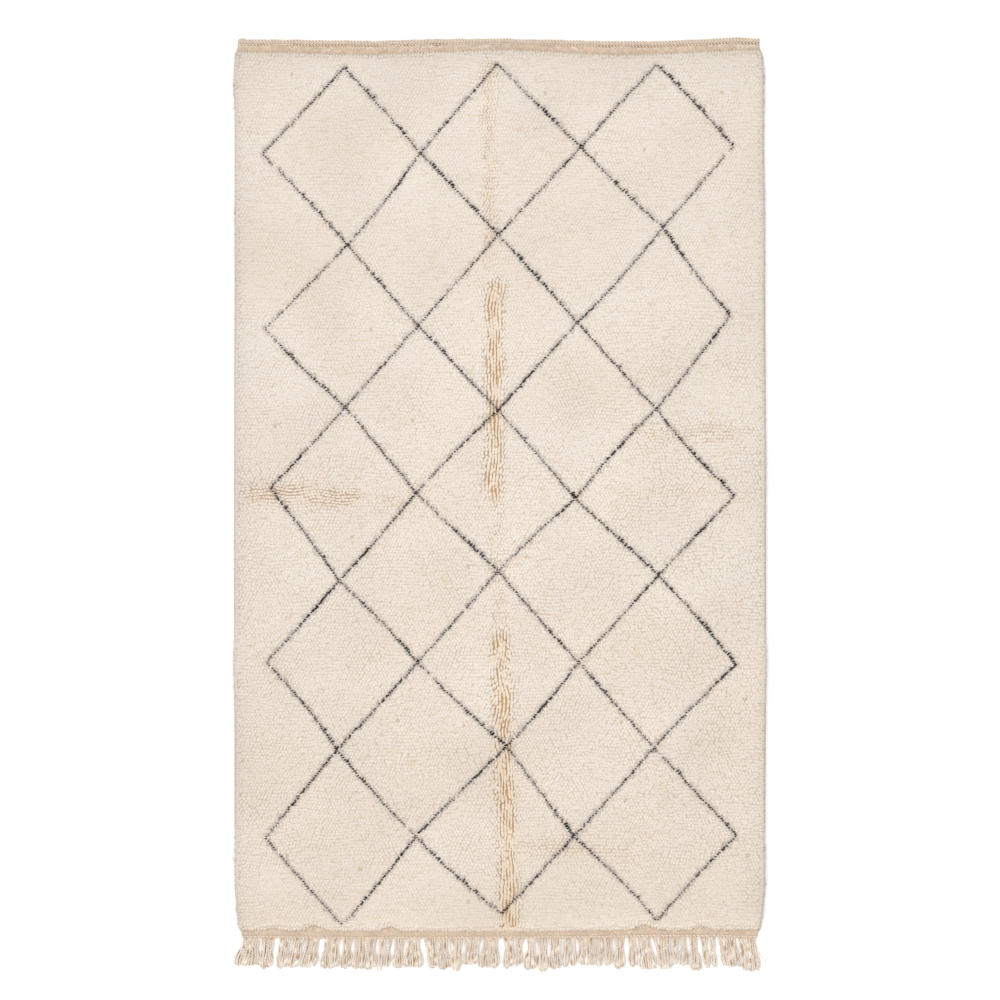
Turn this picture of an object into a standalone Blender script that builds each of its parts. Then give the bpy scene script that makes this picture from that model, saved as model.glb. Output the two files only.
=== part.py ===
"""A hand-knotted wool rug of the Beni Ourain kind, lying flat, in metres.

The rug lies on the plane z = 0 with its length along Y. The plain end with its corded
edge is at +Y and the fringe is at -Y. The origin is under the middle of the whole rug.

Four pieces make it up:
  rug_body      the knotted field and its two flat-woven end bands, one woven cloth
  heading_cord  the thick cord of two twined rows along the plain end
  closing_cord  the thin twined cord that locks the other band
  fringe        the looped warp ends beyond it, gathered in bunches, as one comb
"""

import math

import bmesh
import bpy
import numpy as np

MM = 0.001

# ---------------------------------------------------------------- driving dimensions

PILE_WIDTH = 1500 * MM
PILE_HEIGHT = 22 * MM          # ground and knots together
BAND_HEIGHT = 3 * MM           # the flat-woven ends
HEADING_DEPTH = 14 * MM        # the heading cord, measured along the rug
HEADING_HEIGHT = 8 * MM
CLOSING_DEPTH = 4.5 * MM       # the twined cord, measured along the rug
CLOSING_HEIGHT = 5 * MM
FRINGE_HEIGHT = 6 * MM         # one looped yarn lying flat
FRINGE_HEAD = 5 * MM           # how far the yarns stay side by side at their roots
STRAY_WIDTH = 5 * MM
FOOT_TAPER = 8 * MM            # the pile thins out towards the foot by so much
FOOT_TAPER_REACH = 28 * MM
SWELL = 1.2 * MM               # how far the pile swells and sinks from place to place
SWELL_ACROSS = (7.3, 1.1)      # its pace in radians per metre, and where it starts
SWELL_ALONG = (4.9, -0.6)
GAP = 0.3 * MM                 # between two pieces that touch on the real rug

TOP_EDGE = 1315.5 * MM         # the outer edge of the heading cord
ROOT_LINE = -1219.5 * MM       # where the lower band ends and the closing cord starts

# Where the woven cloth ends at its two sides, in millimetres.
OUTLINE = [
    # along, left, right
    (1322, -742, 734),
    (1294, -742, 734),
    (1283, -746, 738),
    (1272, -750, 743),
    (1263, -752, 745),
    (1198, -755, 748),
    (1029, -750, 747),
    (804, -752, 750),
    (578, -750, 749),
    (352, -752, 751),
    (127, -752, 753),
    (-99, -753, 752),
    (-324, -752, 752),
    (-437, -756, 755),
    (-663, -749, 750),
    (-888, -751, 750),
    (-1057, -752, 751),
    (-1142, -747, 746),
    (-1187, -743, 740),
    (-1199, -737, 736),
    (-1210, -731, 730),
    (-1222, -730, 727),
]

# How far the heading edge rises above TOP_EDGE or sinks below it, in millimetres.
TOP_WAVE = [
    # across, rise
    (-742, 0),
    (-690, 1),
    (-460, -2),
    (-350, -3),
    (-180, 2),
    (0, 3),
    (120, 0),
    (330, -4),
    (450, -4),
    (560, 1),
    (665, 6),
    (734, 3),
]

# The same for ROOT_LINE.
ROOT_WAVE = [
    # across, rise
    (-730, 2),
    (-500, -1),
    (-100, -1),
    (200, 0),
    (440, 4),
    (600, 4),
    (727, 1),
]

# Where the knots stop at the upper band, in millimetres.
PILE_TOP = [
    # across, along
    (-742, 1278),
    (-380, 1270),
    (0, 1283),
    (352, 1269),
    (734, 1283),
]

# Where they stop at the lower band, in millimetres.
PILE_FOOT = [
    # across, along
    (-730, -1200),
    (0, -1203),
    (380, -1199),
    (727, -1198),
]

# Places where they stop short of that line, in millimetres.
SCALLOPS = [
    # across, height, half width
    (-640, 7, 45),
    (-522, 15, 55),
    (-310, 13, 45),
    (408, 16, 60),
    (572, 11, 45),
]

# Soft troughs where the pile parts, each along a straight line, in millimetres.
PARTINGS = [
    # start across, start along, end across, end along, depth, half width
    (-28, 1240, -28, 690, 2.5, 20),
    (-14, 610, -18, 40, 6.0, 22),
    (-10, 20, -8, -340, 2.0, 18),
    (0, -380, 26, -1185, 7.0, 24),
    (-700, 40, -420, 24, 3.5, 22),
    (-420, 24, -250, 8, 2.0, 18),
    (400, 205, 700, 195, 1.6, 22),
    (300, 40, 690, 30, 1.2, 20),
    (60, -955, 350, -985, 1.6, 20),
]

# The bunches of the fringe, from left to right, in millimetres.
BUNCHES = [
    # root from, root to, tip from, tip to, where the tip lies along the rug
    (-725, -680, -754, -684, -1303),
    (-675, -637, -681, -643, -1311),
    (-623, -554, -633, -574, -1311),
    (-550, -509, -571, -523, -1311),
    (-495, -450, -510, -458, -1312),
    (-446, -418, -452, -423, -1311),
    (-414, -347, -420, -352, -1314),
    (-343, -305, -349, -313, -1321),
    (-299, -227, -306, -216, -1311),
    (-217, -150, -203, -142, -1314),
    (-147, -5, -138, -3, -1311),
    (10, 70, 9, 59, -1309),
    (77, 136, 66, 135, -1317),
    (140, 173, 138, 169, -1313),
    (177, 263, 173, 265, -1308),
    (268, 318, 269, 318, -1308),
    (322, 352, 321, 350, -1314),
    (361, 424, 364, 440, -1315),
    (430, 504, 447, 502, -1312),
    (508, 525, 505, 531, -1306),
    (533, 556, 536, 572, -1317),
    (564, 608, 578, 615, -1311),
    (614, 664, 626, 679, -1308),
    (670, 712, 683, 728, -1321),
]

# The middle line of the one yarn that strays from the last bunch, in millimetres.
STRAY = [
    # across, along
    (721, -1227),
    (727, -1250),
    (737, -1272),
    (753, -1293),
]

# The side of the cloth in section, from the floor up, as shares of the height there.
SIDE_PROFILE = [
    # inset, height
    (0.40, 0.00),
    (0.07, 0.30),
    (0.00, 0.62),
    (0.18, 0.88),
]
TOP_INSET = 0.55               # the inset where the side meets the upper face

# How the pile rises from a band.
PILE_CLIMB = [
    # distance into the field in millimetres, share of the rise
    (0, 0.0),
    (2, 0.45),
    (7, 0.80),
    (16, 1.0),
]

# A cord in section, as shares of its depth and its height, flat where it rests.
CORD_SECTION = [
    # depth, height
    (-0.38, 0.00),
    (0.38, 0.00),
    (0.50, 0.26),
    (0.38, 0.80),
    (0.00, 1.00),
    (-0.38, 0.80),
    (-0.50, 0.26),
]

END_TAPER = 0.7                # a cord's thickness at its two ends

# Fineness of the meshes
COLUMN_STEP = 60 * MM
ROW_STEP = 70 * MM
FINE_STEP = 10 * MM            # across the middle parting
FINE_HALF = 60 * MM            # how far to each side the fine columns reach
CROSS_STEP = 15 * MM           # across the two crosswise partings
CROSS_FROM = -20 * MM
CROSS_TO = 230 * MM
TIP_ARC = 4                    # points on each rounded corner of a bunch
TIP_ROUNDING = 0.45            # share of a bunch's width, at most 11 mm
TIP_ROUNDING_MOST = 11 * MM

PILE_ROUGHNESS = 0.95
YARN_ROUGHNESS = 0.92
SMOOTH_UP_TO = 40              # degrees between two faces that still shade as one
CREAM = (0.79, 0.70, 0.59)
BEIGE = (0.60, 0.48, 0.37)
TAN = (0.55, 0.42, 0.31)
OATMEAL = (0.68, 0.57, 0.46)


# ---------------------------------------------------------------- reading the tables

def column(table, index):
    """One column of a table in millimetres, as metres."""
    return np.array([row[index] for row in table], float) * MM


def eased(at, places, values):
    """The value between a table's stations, level at each of them."""
    if places[0] > places[-1]:
        places = places[::-1]
        values = values[::-1]
    at = min(max(at, places[0]), places[-1])
    after = min(max(int(np.searchsorted(places, at)), 1), len(places) - 1)
    share = (at - places[after - 1]) / (places[after] - places[after - 1])
    share = share * share * (3 - 2 * share)
    return values[after - 1] + share * (values[after] - values[after - 1])


def wave(table, across):
    return eased(across, column(table, 0), column(table, 1))


def sides(along):
    """Where the cloth ends at its left and at its right."""
    places = column(OUTLINE, 0)
    return eased(along, places, column(OUTLINE, 1)), eased(along, places, column(OUTLINE, 2))


def band_top(across):
    return TOP_EDGE + wave(TOP_WAVE, across) - HEADING_DEPTH - GAP


def band_foot(across):
    return ROOT_LINE + wave(ROOT_WAVE, across)


def pile_top(across):
    return wave(PILE_TOP, across)


def pile_foot(across):
    along = wave(PILE_FOOT, across)
    for place, height, half_width in SCALLOPS:
        nearness = (across - place * MM) / (half_width * MM)
        along += height * MM * math.exp(-4 * nearness * nearness)
    return along


def parting_depth(across, along):
    """How far the pile sinks here: the deepest of the troughs that reach this place."""
    deepest = 0.0
    for x0, y0, x1, y1, depth, half_width in PARTINGS:
        start = np.array([x0, y0]) * MM
        way = np.array([x1 - x0, y1 - y0]) * MM
        offset = np.array([across, along]) - start
        share = min(max(offset @ way / (way @ way), 0.0), 1.0)
        distance = np.linalg.norm(offset - share * way)
        nearness = distance / (half_width * MM)
        deepest = max(deepest, depth * MM * math.exp(-2 * nearness * nearness))
    return deepest


def cloth_height(across, along):
    """The height of the upper face: two thin bands, with the pile between them."""
    inward = min(pile_top(across) - along, along - pile_foot(across))
    rise = eased(inward, column(PILE_CLIMB, 0), [share for _, share in PILE_CLIMB])
    pace_across, start_across = SWELL_ACROSS
    pace_along, start_along = SWELL_ALONG
    swell = math.sin(pace_across * across + start_across) * math.sin(pace_along * along + start_along)
    below = max(along - pile_foot(across), 0.0)
    taper = FOOT_TAPER * math.exp(-below / FOOT_TAPER_REACH)
    pile = PILE_HEIGHT + SWELL * swell - taper - parting_depth(across, along)
    return BAND_HEIGHT + rise * (pile - BAND_HEIGHT)


# ---------------------------------------------------------------- stations of the grid

def spaced(start, end, step):
    """Even stations from start to end, no further apart than step."""
    return np.linspace(start, end, math.ceil((end - start) / step) + 1)


def refined(start, end, step, fine_from, fine_to, fine_step):
    """Stations from start to end that lie closer together in one stretch."""
    before = spaced(start, fine_from, step)[:-1]
    fine = spaced(fine_from, fine_to, fine_step)
    after = spaced(fine_to, end, step)[1:]
    return np.concatenate([before, fine, after])


def column_shares():
    """The columns, as shares of the cloth's width."""
    half = PILE_WIDTH / 2
    places = refined(-half, half, COLUMN_STEP, -FINE_HALF, FINE_HALF, FINE_STEP)
    return places / PILE_WIDTH + 0.5


def between(lower, upper, share):
    """A line across the rug that runs a share of the way from one line to another."""
    return lambda across: lower(across) + share * (upper(across) - lower(across))


def shifted(line, distance):
    return lambda across: line(across) + distance


def row_lines():
    """The rows, from the lower band to the upper, each a line across the rug."""
    climb = column(PILE_CLIMB, 0)
    foot = shifted(pile_foot, climb[-1])
    top = shifted(pile_top, -climb[-1])
    places = refined(foot(0), top(0), ROW_STEP, CROSS_FROM, CROSS_TO, CROSS_STEP)
    shares = (places - places[0]) / (places[-1] - places[0])
    rows = [between(band_foot, pile_foot, share) for share in (0.0, 0.5)]
    rows += [shifted(pile_foot, distance) for distance in climb]
    rows += [between(foot, top, share) for share in shares[1:-1]]
    rows += [shifted(pile_top, -distance) for distance in climb[::-1]]
    rows += [between(pile_top, band_top, share) for share in (0.5, 1.0)]
    return rows


# ---------------------------------------------------------------- making objects

def clear_scene():
    for thing in list(bpy.data.objects):
        bpy.data.objects.remove(thing, do_unlink=True)


def wool(name, colour, roughness):
    """A dull plain material for one piece."""
    material = bpy.data.materials.new(name)
    material.use_nodes = True
    shader = material.node_tree.nodes["Principled BSDF"]
    shader.inputs["Base Color"].default_value = (*colour, 1.0)
    shader.inputs["Roughness"].default_value = roughness
    shader.inputs["Metallic"].default_value = 0.0
    material.diffuse_color = (*colour, 1.0)
    return material


def add_piece(name, surface, material):
    """Turns a closed bmesh into a named object whose faces point out."""
    bmesh.ops.recalc_face_normals(surface, faces=surface.faces)
    mesh = bpy.data.meshes.new(name)
    surface.to_mesh(mesh)
    surface.free()
    mesh.shade_smooth()
    mesh.set_sharp_from_angle(angle=math.radians(SMOOTH_UP_TO))
    mesh.materials.append(material)
    piece = bpy.data.objects.new(name, mesh)
    bpy.context.scene.collection.objects.link(piece)
    return piece


def fill_between(surface, lower, upper):
    """Joins two closed rings of as many points with a band of quads."""
    for i in range(len(lower)):
        following = (i + 1) % len(lower)
        surface.faces.new((lower[i], lower[following], upper[following], upper[i]))


# ---------------------------------------------------------------- the woven cloth

def cloth_place(share, line, inset=0.0, end=0):
    """Where a column meets a line across the cloth, drawn in from the cloth's edge.

    end is 1 on the last line, -1 on the first and 0 on the lines between.
    """
    across = (share - 0.5) * PILE_WIDTH
    for _ in range(2):
        left, right = sides(line(across))
        across = left + inset + share * (right - left - 2 * inset)
    return across, line(across) - end * inset


def places_on(line):
    """How far across the rug each column meets a line."""
    return [cloth_place(share, line)[0] for share in column_shares()]


def make_rug_body():
    """The field and both bands as one closed form: upper face, rounded rim, flat base."""
    surface = bmesh.new()
    shares = column_shares()
    rows = row_lines()
    last_row = len(rows) - 1
    last_column = len(shares) - 1

    def end_of(i):
        return (i == last_row) - (i == 0)

    grid = []
    heights = {}
    for i, row in enumerate(rows):
        line = []
        for j, share in enumerate(shares):
            height = cloth_height(*cloth_place(share, row))
            heights[i, j] = height
            across, along = cloth_place(share, row, TOP_INSET * height, end_of(i))
            line.append(surface.verts.new((across, along, height)))
        grid.append(line)
    for i in range(last_row):
        for j in range(last_column):
            corners = (grid[i][j], grid[i][j + 1], grid[i + 1][j + 1], grid[i + 1][j])
            surface.faces.new(corners)

    rim = [(0, j) for j in range(last_column)]
    rim += [(i, last_column) for i in range(last_row)]
    rim += [(last_row, j) for j in range(last_column, 0, -1)]
    rim += [(i, 0) for i in range(last_row, 0, -1)]
    rings = []
    for inset, level in SIDE_PROFILE:
        ring = []
        for i, j in rim:
            height = heights[i, j]
            across, along = cloth_place(shares[j], rows[i], inset * height, end_of(i))
            ring.append(surface.verts.new((across, along, level * height)))
        rings.append(ring)
    rings.append([grid[i][j] for i, j in rim])
    for lower, upper in zip(rings, rings[1:]):
        fill_between(surface, lower, upper)
    surface.faces.new(rings[0][::-1])
    return add_piece("rug_body", surface, wool("cream_wool", CREAM, PILE_ROUGHNESS))


# ---------------------------------------------------------------- the two cords

def make_cord(name, middle, places, depth, height, material):
    """A cord on the floor along a line across the rug, a little thinner at its ends."""
    surface = bmesh.new()
    rings = []
    for across in places:
        taper = END_TAPER if across in (places[0], places[-1]) else 1.0
        ring = []
        for deep, high in CORD_SECTION:
            along = middle(across) + taper * deep * depth
            ring.append(surface.verts.new((across, along, taper * high * height)))
        rings.append(ring)
    for first, second in zip(rings, rings[1:]):
        fill_between(surface, first, second)
    surface.faces.new(rings[0])
    surface.faces.new(rings[-1])
    return add_piece(name, surface, material)


def make_heading_cord():
    return make_cord(
        "heading_cord",
        shifted(band_top, GAP + HEADING_DEPTH / 2),
        places_on(band_top),
        HEADING_DEPTH,
        HEADING_HEIGHT,
        wool("beige_yarn", BEIGE, YARN_ROUGHNESS),
    )


def make_closing_cord():
    return make_cord(
        "closing_cord",
        shifted(band_foot, -GAP - CLOSING_DEPTH / 2),
        places_on(band_foot),
        CLOSING_DEPTH,
        CLOSING_HEIGHT,
        wool("tan_yarn", TAN, YARN_ROUGHNESS),
    )


# ---------------------------------------------------------------- the fringe

def comb_root(across):
    """The edge of the fringe that lies against the closing cord."""
    return band_foot(across) - 2 * GAP - CLOSING_DEPTH


def rounded_corner(before, corner, after, radius):
    """Points of an arc-like bend at a corner between two neighbours."""
    start = corner + radius * (before - corner) / np.linalg.norm(before - corner)
    end = corner + radius * (after - corner) / np.linalg.norm(after - corner)
    points = []
    for t in np.linspace(0.0, 1.0, TIP_ARC):
        points.append((1 - t) ** 2 * start + 2 * t * (1 - t) * corner + t * t * end)
    return points


def bunch_outline(root_from, root_to, tip_from, tip_to, tip_along):
    """One bunch, from its left root round its tip to its right root."""
    left = np.array([root_from, comb_root(root_from) - FRINGE_HEAD])
    right = np.array([root_to, comb_root(root_to) - FRINGE_HEAD])
    tip_left = np.array([tip_from, tip_along])
    tip_right = np.array([tip_to, tip_along])
    radius = min(TIP_ROUNDING * (tip_to - tip_from), TIP_ROUNDING_MOST)
    points = [left]
    points += rounded_corner(left, tip_left, tip_right, radius)
    points += rounded_corner(tip_left, tip_right, right, radius)
    points.append(right)
    return points


def stray_outline():
    """The straying yarn, down its left side and back up its right."""
    middle = [np.array(place) * MM for place in STRAY]
    left = []
    right = []
    for i, place in enumerate(middle):
        way = middle[min(i + 1, len(middle) - 1)] - middle[max(i - 1, 0)]
        aside = np.array([-way[1], way[0]]) / np.linalg.norm(way) * STRAY_WIDTH / 2
        left.append(place - aside)
        right.append(place + aside)
    return left + right[::-1]


def make_fringe():
    """The comb: its head along the cord, its bunches, and the straying yarn."""
    outline = []
    for bunch in BUNCHES:
        outline += bunch_outline(*(size * MM for size in bunch))
    outline += stray_outline()
    outline += [(across, comb_root(across)) for across in places_on(band_foot)[::-1]]

    surface = bmesh.new()
    base = [surface.verts.new((x, y, 0.0)) for x, y in outline]
    upper = [surface.verts.new((x, y, FRINGE_HEIGHT)) for x, y in outline]
    fill_between(surface, base, upper)
    surface.faces.new(base)
    surface.faces.new(upper)
    return add_piece("fringe", surface, wool("oatmeal_yarn", OATMEAL, YARN_ROUGHNESS))


clear_scene()
make_rug_body()
make_heading_cord()
make_closing_cord()
make_fringe()
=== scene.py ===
"""The looks of a hand-knotted wool rug of the Beni Ourain kind, lying flat, in metres.

The rug lies on the plane z = 0 with its length along Y: the plain end with its corded
edge at +Y, the fringe at -Y. The cloth is one thin woven sheet whose two ends show as
bare bands. Locks of cream wool are knotted all over the field between them, with a few
dark ones that draw an uneven lattice of lozenges. Two rows of twining edge the upper
band, and a twined cord locks the lower one above the looped warp ends.
"""

import math

import bpy
import numpy as np
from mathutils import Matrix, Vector


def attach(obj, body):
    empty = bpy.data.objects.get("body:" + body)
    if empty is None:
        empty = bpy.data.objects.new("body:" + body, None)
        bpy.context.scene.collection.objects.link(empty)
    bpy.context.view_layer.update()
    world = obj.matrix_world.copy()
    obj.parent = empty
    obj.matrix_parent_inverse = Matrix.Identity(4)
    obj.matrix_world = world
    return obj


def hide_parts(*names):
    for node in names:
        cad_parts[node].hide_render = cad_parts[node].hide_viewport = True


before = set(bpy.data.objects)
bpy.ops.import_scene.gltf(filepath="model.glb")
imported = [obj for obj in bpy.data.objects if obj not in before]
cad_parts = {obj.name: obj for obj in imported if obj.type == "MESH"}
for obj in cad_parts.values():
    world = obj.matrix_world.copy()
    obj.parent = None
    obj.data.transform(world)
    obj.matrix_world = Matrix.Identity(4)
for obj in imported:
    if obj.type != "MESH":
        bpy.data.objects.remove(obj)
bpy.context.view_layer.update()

MM = 0.001

# ---- driving dimensions

PILE_HEIGHT = 22 * MM          # ground and knots together
BAND_HEIGHT = 3 * MM           # the flat-woven ends, and the ground under the knots
HEADING_DEPTH = 14 * MM        # the two rows of twining, measured along the rug
HEADING_HEIGHT = 8 * MM
CLOSING_DEPTH = 4.5 * MM       # the twined cord, measured along the rug
CLOSING_HEIGHT = 5 * MM
GAP = 0.3 * MM                 # between two pieces that touch on the real rug

TOP_EDGE = 1315.5 * MM         # the outer edge of the heading cord
ROOT_LINE = -1219.5 * MM       # where the lower band ends and the closing cord starts

# Where the woven cloth ends at its two sides, in millimetres.
OUTLINE = [
    # along, left, right
    (1322, -742, 734),
    (1294, -742, 734),
    (1283, -746, 738),
    (1272, -750, 743),
    (1263, -752, 745),
    (1198, -755, 748),
    (1029, -750, 747),
    (804, -752, 750),
    (578, -750, 749),
    (352, -752, 751),
    (127, -752, 753),
    (-99, -753, 752),
    (-324, -752, 752),
    (-437, -756, 755),
    (-663, -749, 750),
    (-888, -751, 750),
    (-1057, -752, 751),
    (-1142, -747, 746),
    (-1187, -743, 740),
    (-1199, -737, 736),
    (-1210, -731, 730),
    (-1222, -730, 727),
]

# How far the heading edge rises above TOP_EDGE or sinks below it, in millimetres.
TOP_WAVE = [
    # across, rise
    (-742, 0),
    (-690, 1),
    (-460, -2),
    (-350, -3),
    (-180, 2),
    (0, 3),
    (120, 0),
    (330, -4),
    (450, -4),
    (560, 1),
    (665, 6),
    (734, 3),
]

# The same for ROOT_LINE.
ROOT_WAVE = [
    (-730, 2),
    (-500, -1),
    (-100, -1),
    (200, 0),
    (440, 4),
    (600, 4),
    (727, 1),
]

# Where the knots stop at the upper band, in millimetres.
PILE_TOP = [
    # across, along
    (-742, 1278),
    (-380, 1270),
    (0, 1283),
    (352, 1269),
    (734, 1283),
]

# Where they stop at the lower band.
PILE_FOOT = [
    (-730, -1200),
    (0, -1203),
    (380, -1199),
    (727, -1198),
]

# Places where they stop short of that line, in millimetres.
SCALLOPS = [
    # across, height, half width
    (-640, 7, 45),
    (-522, 15, 55),
    (-310, 13, 45),
    (408, 16, 60),
    (572, 11, 45),
]

# Soft troughs where the pile parts, each along a straight line, in millimetres.
PARTINGS = [
    # start across, start along, end across, end along, depth, half width
    (-28, 1240, -28, 690, 2.5, 20),
    (-14, 610, -18, 40, 6.0, 22),
    (-10, 20, -8, -340, 2.0, 18),
    (0, -380, 26, -1185, 7.0, 24),
    (-690, 34, -420, 24, 4.0, 28),
    (-420, 24, -250, 8, 2.0, 20),
    (400, 205, 700, 195, 2.2, 26),
    (300, 40, 690, 30, 1.2, 20),
    (60, -955, 350, -985, 1.6, 20),
]
FULL_PARTING = 6 * MM          # locks lie fully in lines along a trough this deep
LINED_SPREAD = 1.3             # up to so many half widths from its middle

# How strong the grain of the pile is along the rug: fine and flat at the top, coarser below.
RELIEF = [
    # along in millimetres, share of the full depth
    (1280, 0.58),
    (700, 0.60),
    (400, 0.70),
    (0, 0.79),
    (-900, 0.80),
    (-1180, 0.62),
]
RELIEF_TO_RIGHT = 0.14         # how much stronger it gets towards the right side

# The bunches of the fringe, from left to right, in millimetres.
BUNCHES = [
    # root from, root to, tip from, tip to, where the tip lies along the rug
    (-725, -680, -754, -684, -1303),
    (-675, -637, -681, -643, -1311),
    (-623, -591, -633, -606, -1311),
    (-588, -553, -603, -574, -1311),
    (-550, -509, -571, -523, -1311),
    (-495, -450, -510, -458, -1311),
    (-446, -417, -453, -423, -1311),
    (-415, -347, -420, -352, -1314),
    (-343, -323, -350, -334, -1321),
    (-320, -305, -331, -313, -1310),
    (-299, -266, -306, -281, -1311),
    (-262, -227, -278, -216, -1308),
    (-217, -183, -203, -179, -1310),
    (-180, -149, -176, -141, -1314),
    (-147, -104, -138, -111, -1316),
    (-102, -51, -109, -68, -1303),
    (-47, -4, -65, -3, -1310),
    (10, 39, 8, 34, -1310),
    (44, 70, 37, 59, -1303),
    (78, 99, 66, 104, -1314),
    (102, 137, 107, 135, -1318),
    (140, 173, 138, 169, -1313),
    (178, 197, 173, 193, -1310),
    (200, 214, 196, 217, -1306),
    (217, 264, 220, 265, -1304),
    (268, 281, 269, 290, -1308),
    (283, 319, 293, 319, -1303),
    (323, 352, 321, 350, -1314),
    (361, 382, 364, 389, -1306),
    (386, 424, 392, 440, -1316),
    (430, 482, 447, 484, -1314),
    (485, 505, 486, 502, -1303),
    (509, 525, 505, 532, -1306),
    (534, 556, 536, 572, -1317),
    (564, 587, 578, 595, -1308),
    (589, 608, 598, 615, -1311),
    (615, 666, 626, 680, -1307),
    (671, 725, 684, 733, -1318),
]

# The middle line of the one yarn that strays from the last bunch, in millimetres.
STRAY = [
    # across, along, up
    (721, -1227, 2),
    (727, -1250, 2),
    (737, -1272, 2),
    (753, -1293, 2),
]

# The knots
KNOT_PITCH = 9.0 * MM          # from row to row and from knot to knot
KNOT_STRAY = 1.35 * MM         # how far a knot's lock strays from its place
ROW_SHIFT = 0.25               # every second row is shifted by twice this share of the pitch
LOCK_HALF_LENGTH = 9.5 * MM
LOCK_HALF_WIDTH = 7.4 * MM
LOCK_DEPTH = 4.8 * MM          # from its crest to where it sinks between its neighbours
PARTED_DEPTH = 9.0 * MM        # the same where the pile parts
SIZE_STRAY = 0.04              # how much the locks differ in size, as a share
CREST_STRAY = 0.25 * MM        # how much they differ in height
GAP_MEAN = 0.35                # how far the gaps between lines of locks are open, from 0 to 1
GAP_RANGE = (0.15, 0.9)
GAP_SHIFT = 1.0 * MM           # how far the locks draw back from an open one
GAP_STEP = 731 * MM            # so far apart in its drift, each gap opens by itself
LINE_STEP = 10 * MM            # and so near in theirs, the lines waver together
GAP_NARROWING = 0.20           # how much narrower or shorter locks are beside an open gap
GAP_WIDENING = 0.3             # and how much wider before an open gap across the rug
DOWN_NARROWING = 0.15          # how much narrower they are in a trough down the rug
ACROSS_SHORTENING = 0.25       # and how much shorter in one across it
LINED_ACROSS = 0.6             # how fully lined they are in one across it
LINED_DEPTH = 0.7              # how far lines of locks have the full parted depth
GRAIN_PAINTED_SHADE = 0.75              # how much painted shade darkens a lock's rim in a full grain
LEAN_STRAY = 0.10              # how much they differ in the way they lean
LEAN_SPREAD = 0.6              # how strongly they lean apart, left and right, low down
LEAN_OUT = 1.3                 # how strongly they lean out close to the sides
LEAN_OUT_REACH = 25 * MM
LEAN_DOWN = 0.8                # how much more they lean down at the foot
LEAN_DOWN_REACH = 20 * MM
BED_DROP = 3.9 * MM            # from the crests to the wool that fills the gaps
BED_STEP = 22 * MM
BED_FOOT = 0.8 * BAND_HEIGHT   # where that wool ends, just inside the ground
PILE_PIECES = 4
PILE_WIDTH = 1500 * MM
PILE_LENGTH = 2480 * MM

# The upper side of a lock that leans forward: its crest, a ring round it and its rim.
LOCK_FORM = [
    # across, ahead, height, as shares of its half width, half length and depth
    (0.00, 0.20, 1.00),
    (0.00, 0.72, 0.82),
    (-0.56, 0.16, 0.80),
    (0.00, -0.50, 0.66),
    (0.56, 0.16, 0.80),
    (0.00, 1.06, 0.05),
    (-1.06, 0.12, 0.00),
    (0.00, -1.04, -0.15),
    (1.06, 0.12, 0.00),
]

# The same points of a lock where the pile parts and the locks lie in lines.
LINED_FORM = [
    (0.00, 0.10, 1.00),
    (-0.60, 0.55, 0.86),
    (-0.62, -0.50, 0.76),
    (0.62, -0.50, 0.76),
    (0.60, 0.55, 0.86),
    (-0.84, 0.90, 0.05),
    (-0.88, -0.88, -0.10),
    (0.88, -0.88, -0.10),
    (0.84, 0.90, 0.05),
]
LOCK_RING = 4

# Where the pile rounds off: rows of locks that lean more and more down to the ground.
SIDE_ROWS = [
    # inset from the cloth's side and sunk, in millimetres, tilt in degrees
    (13.5, 0.2, 3),
    (10.8, 0.9, 14),
    (8.0, 2.6, 30),
    (5.4, 5.2, 50),
    (3.4, 9.3, 72),
    (2.4, 14.5, 84),
]
TOP_ROWS = [
    (6.0, 0.8, 15),
    (2.0, 4.5, 42),
    (-2.0, 10.0, 60),
    (-5.0, 15.0, 55),
]
FOOT_ROWS = [
    (7.0, 0.6, 12),
    (3.0, 2.4, 30),
    (-0.5, 5.2, 45),
    (-3.0, 8.5, 48),
]
SIDE_SPAN = (-1192 * MM, 1274 * MM)
END_SPAN = (-742 * MM, 742 * MM)
CORNER_INSET = 6 * MM          # the rows of the two ends stop this far from the sides
BORDER_STRAY = 1.0 * MM
BORDER_LOWEST = 5.5 * MM       # the lowest crest, so that its lock stays above the floor
BORDER_DEPTH = 0.8 * LOCK_DEPTH
BORDER_HALF_LENGTH = 0.8 * LOCK_HALF_LENGTH
BORDER_HALF_WIDTH = 0.84 * LOCK_HALF_WIDTH
BED_INSET = 2 * MM             # the wool behind those rows, further in than their crests
BED_RIM = (0.0, 1.0, 3.0, 6.0, 10.0, 15.0)

FOOT_TAPER = 8 * MM            # the pile thins out towards the foot by so much
FOOT_TAPER_REACH = 28 * MM
SWELL = 1.2 * MM               # how far the pile swells and sinks from place to place
SWELL_ACROSS = (7.3, 1.1)      # its pace in radians per metre, and where it starts
SWELL_ALONG = (4.9, -0.6)

# The tint of the wool: its shade scales its colour, its warmth goes from cream to ochre; the
# lightness in the troughs where the pile parts is painted light against their shade.
TINTS = [
    # where, how much lighter and how much warmer there
    ("everywhere", 0.98, 0.02),
    ("middle", 0.04, 0.0),
    ("low", 0.0, 0.13),
    # painted light in the troughs, against their own shade; warmer there too
    ("parted", 0.13, 0.46),
    ("flat", -0.035, 0.34),
]
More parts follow.
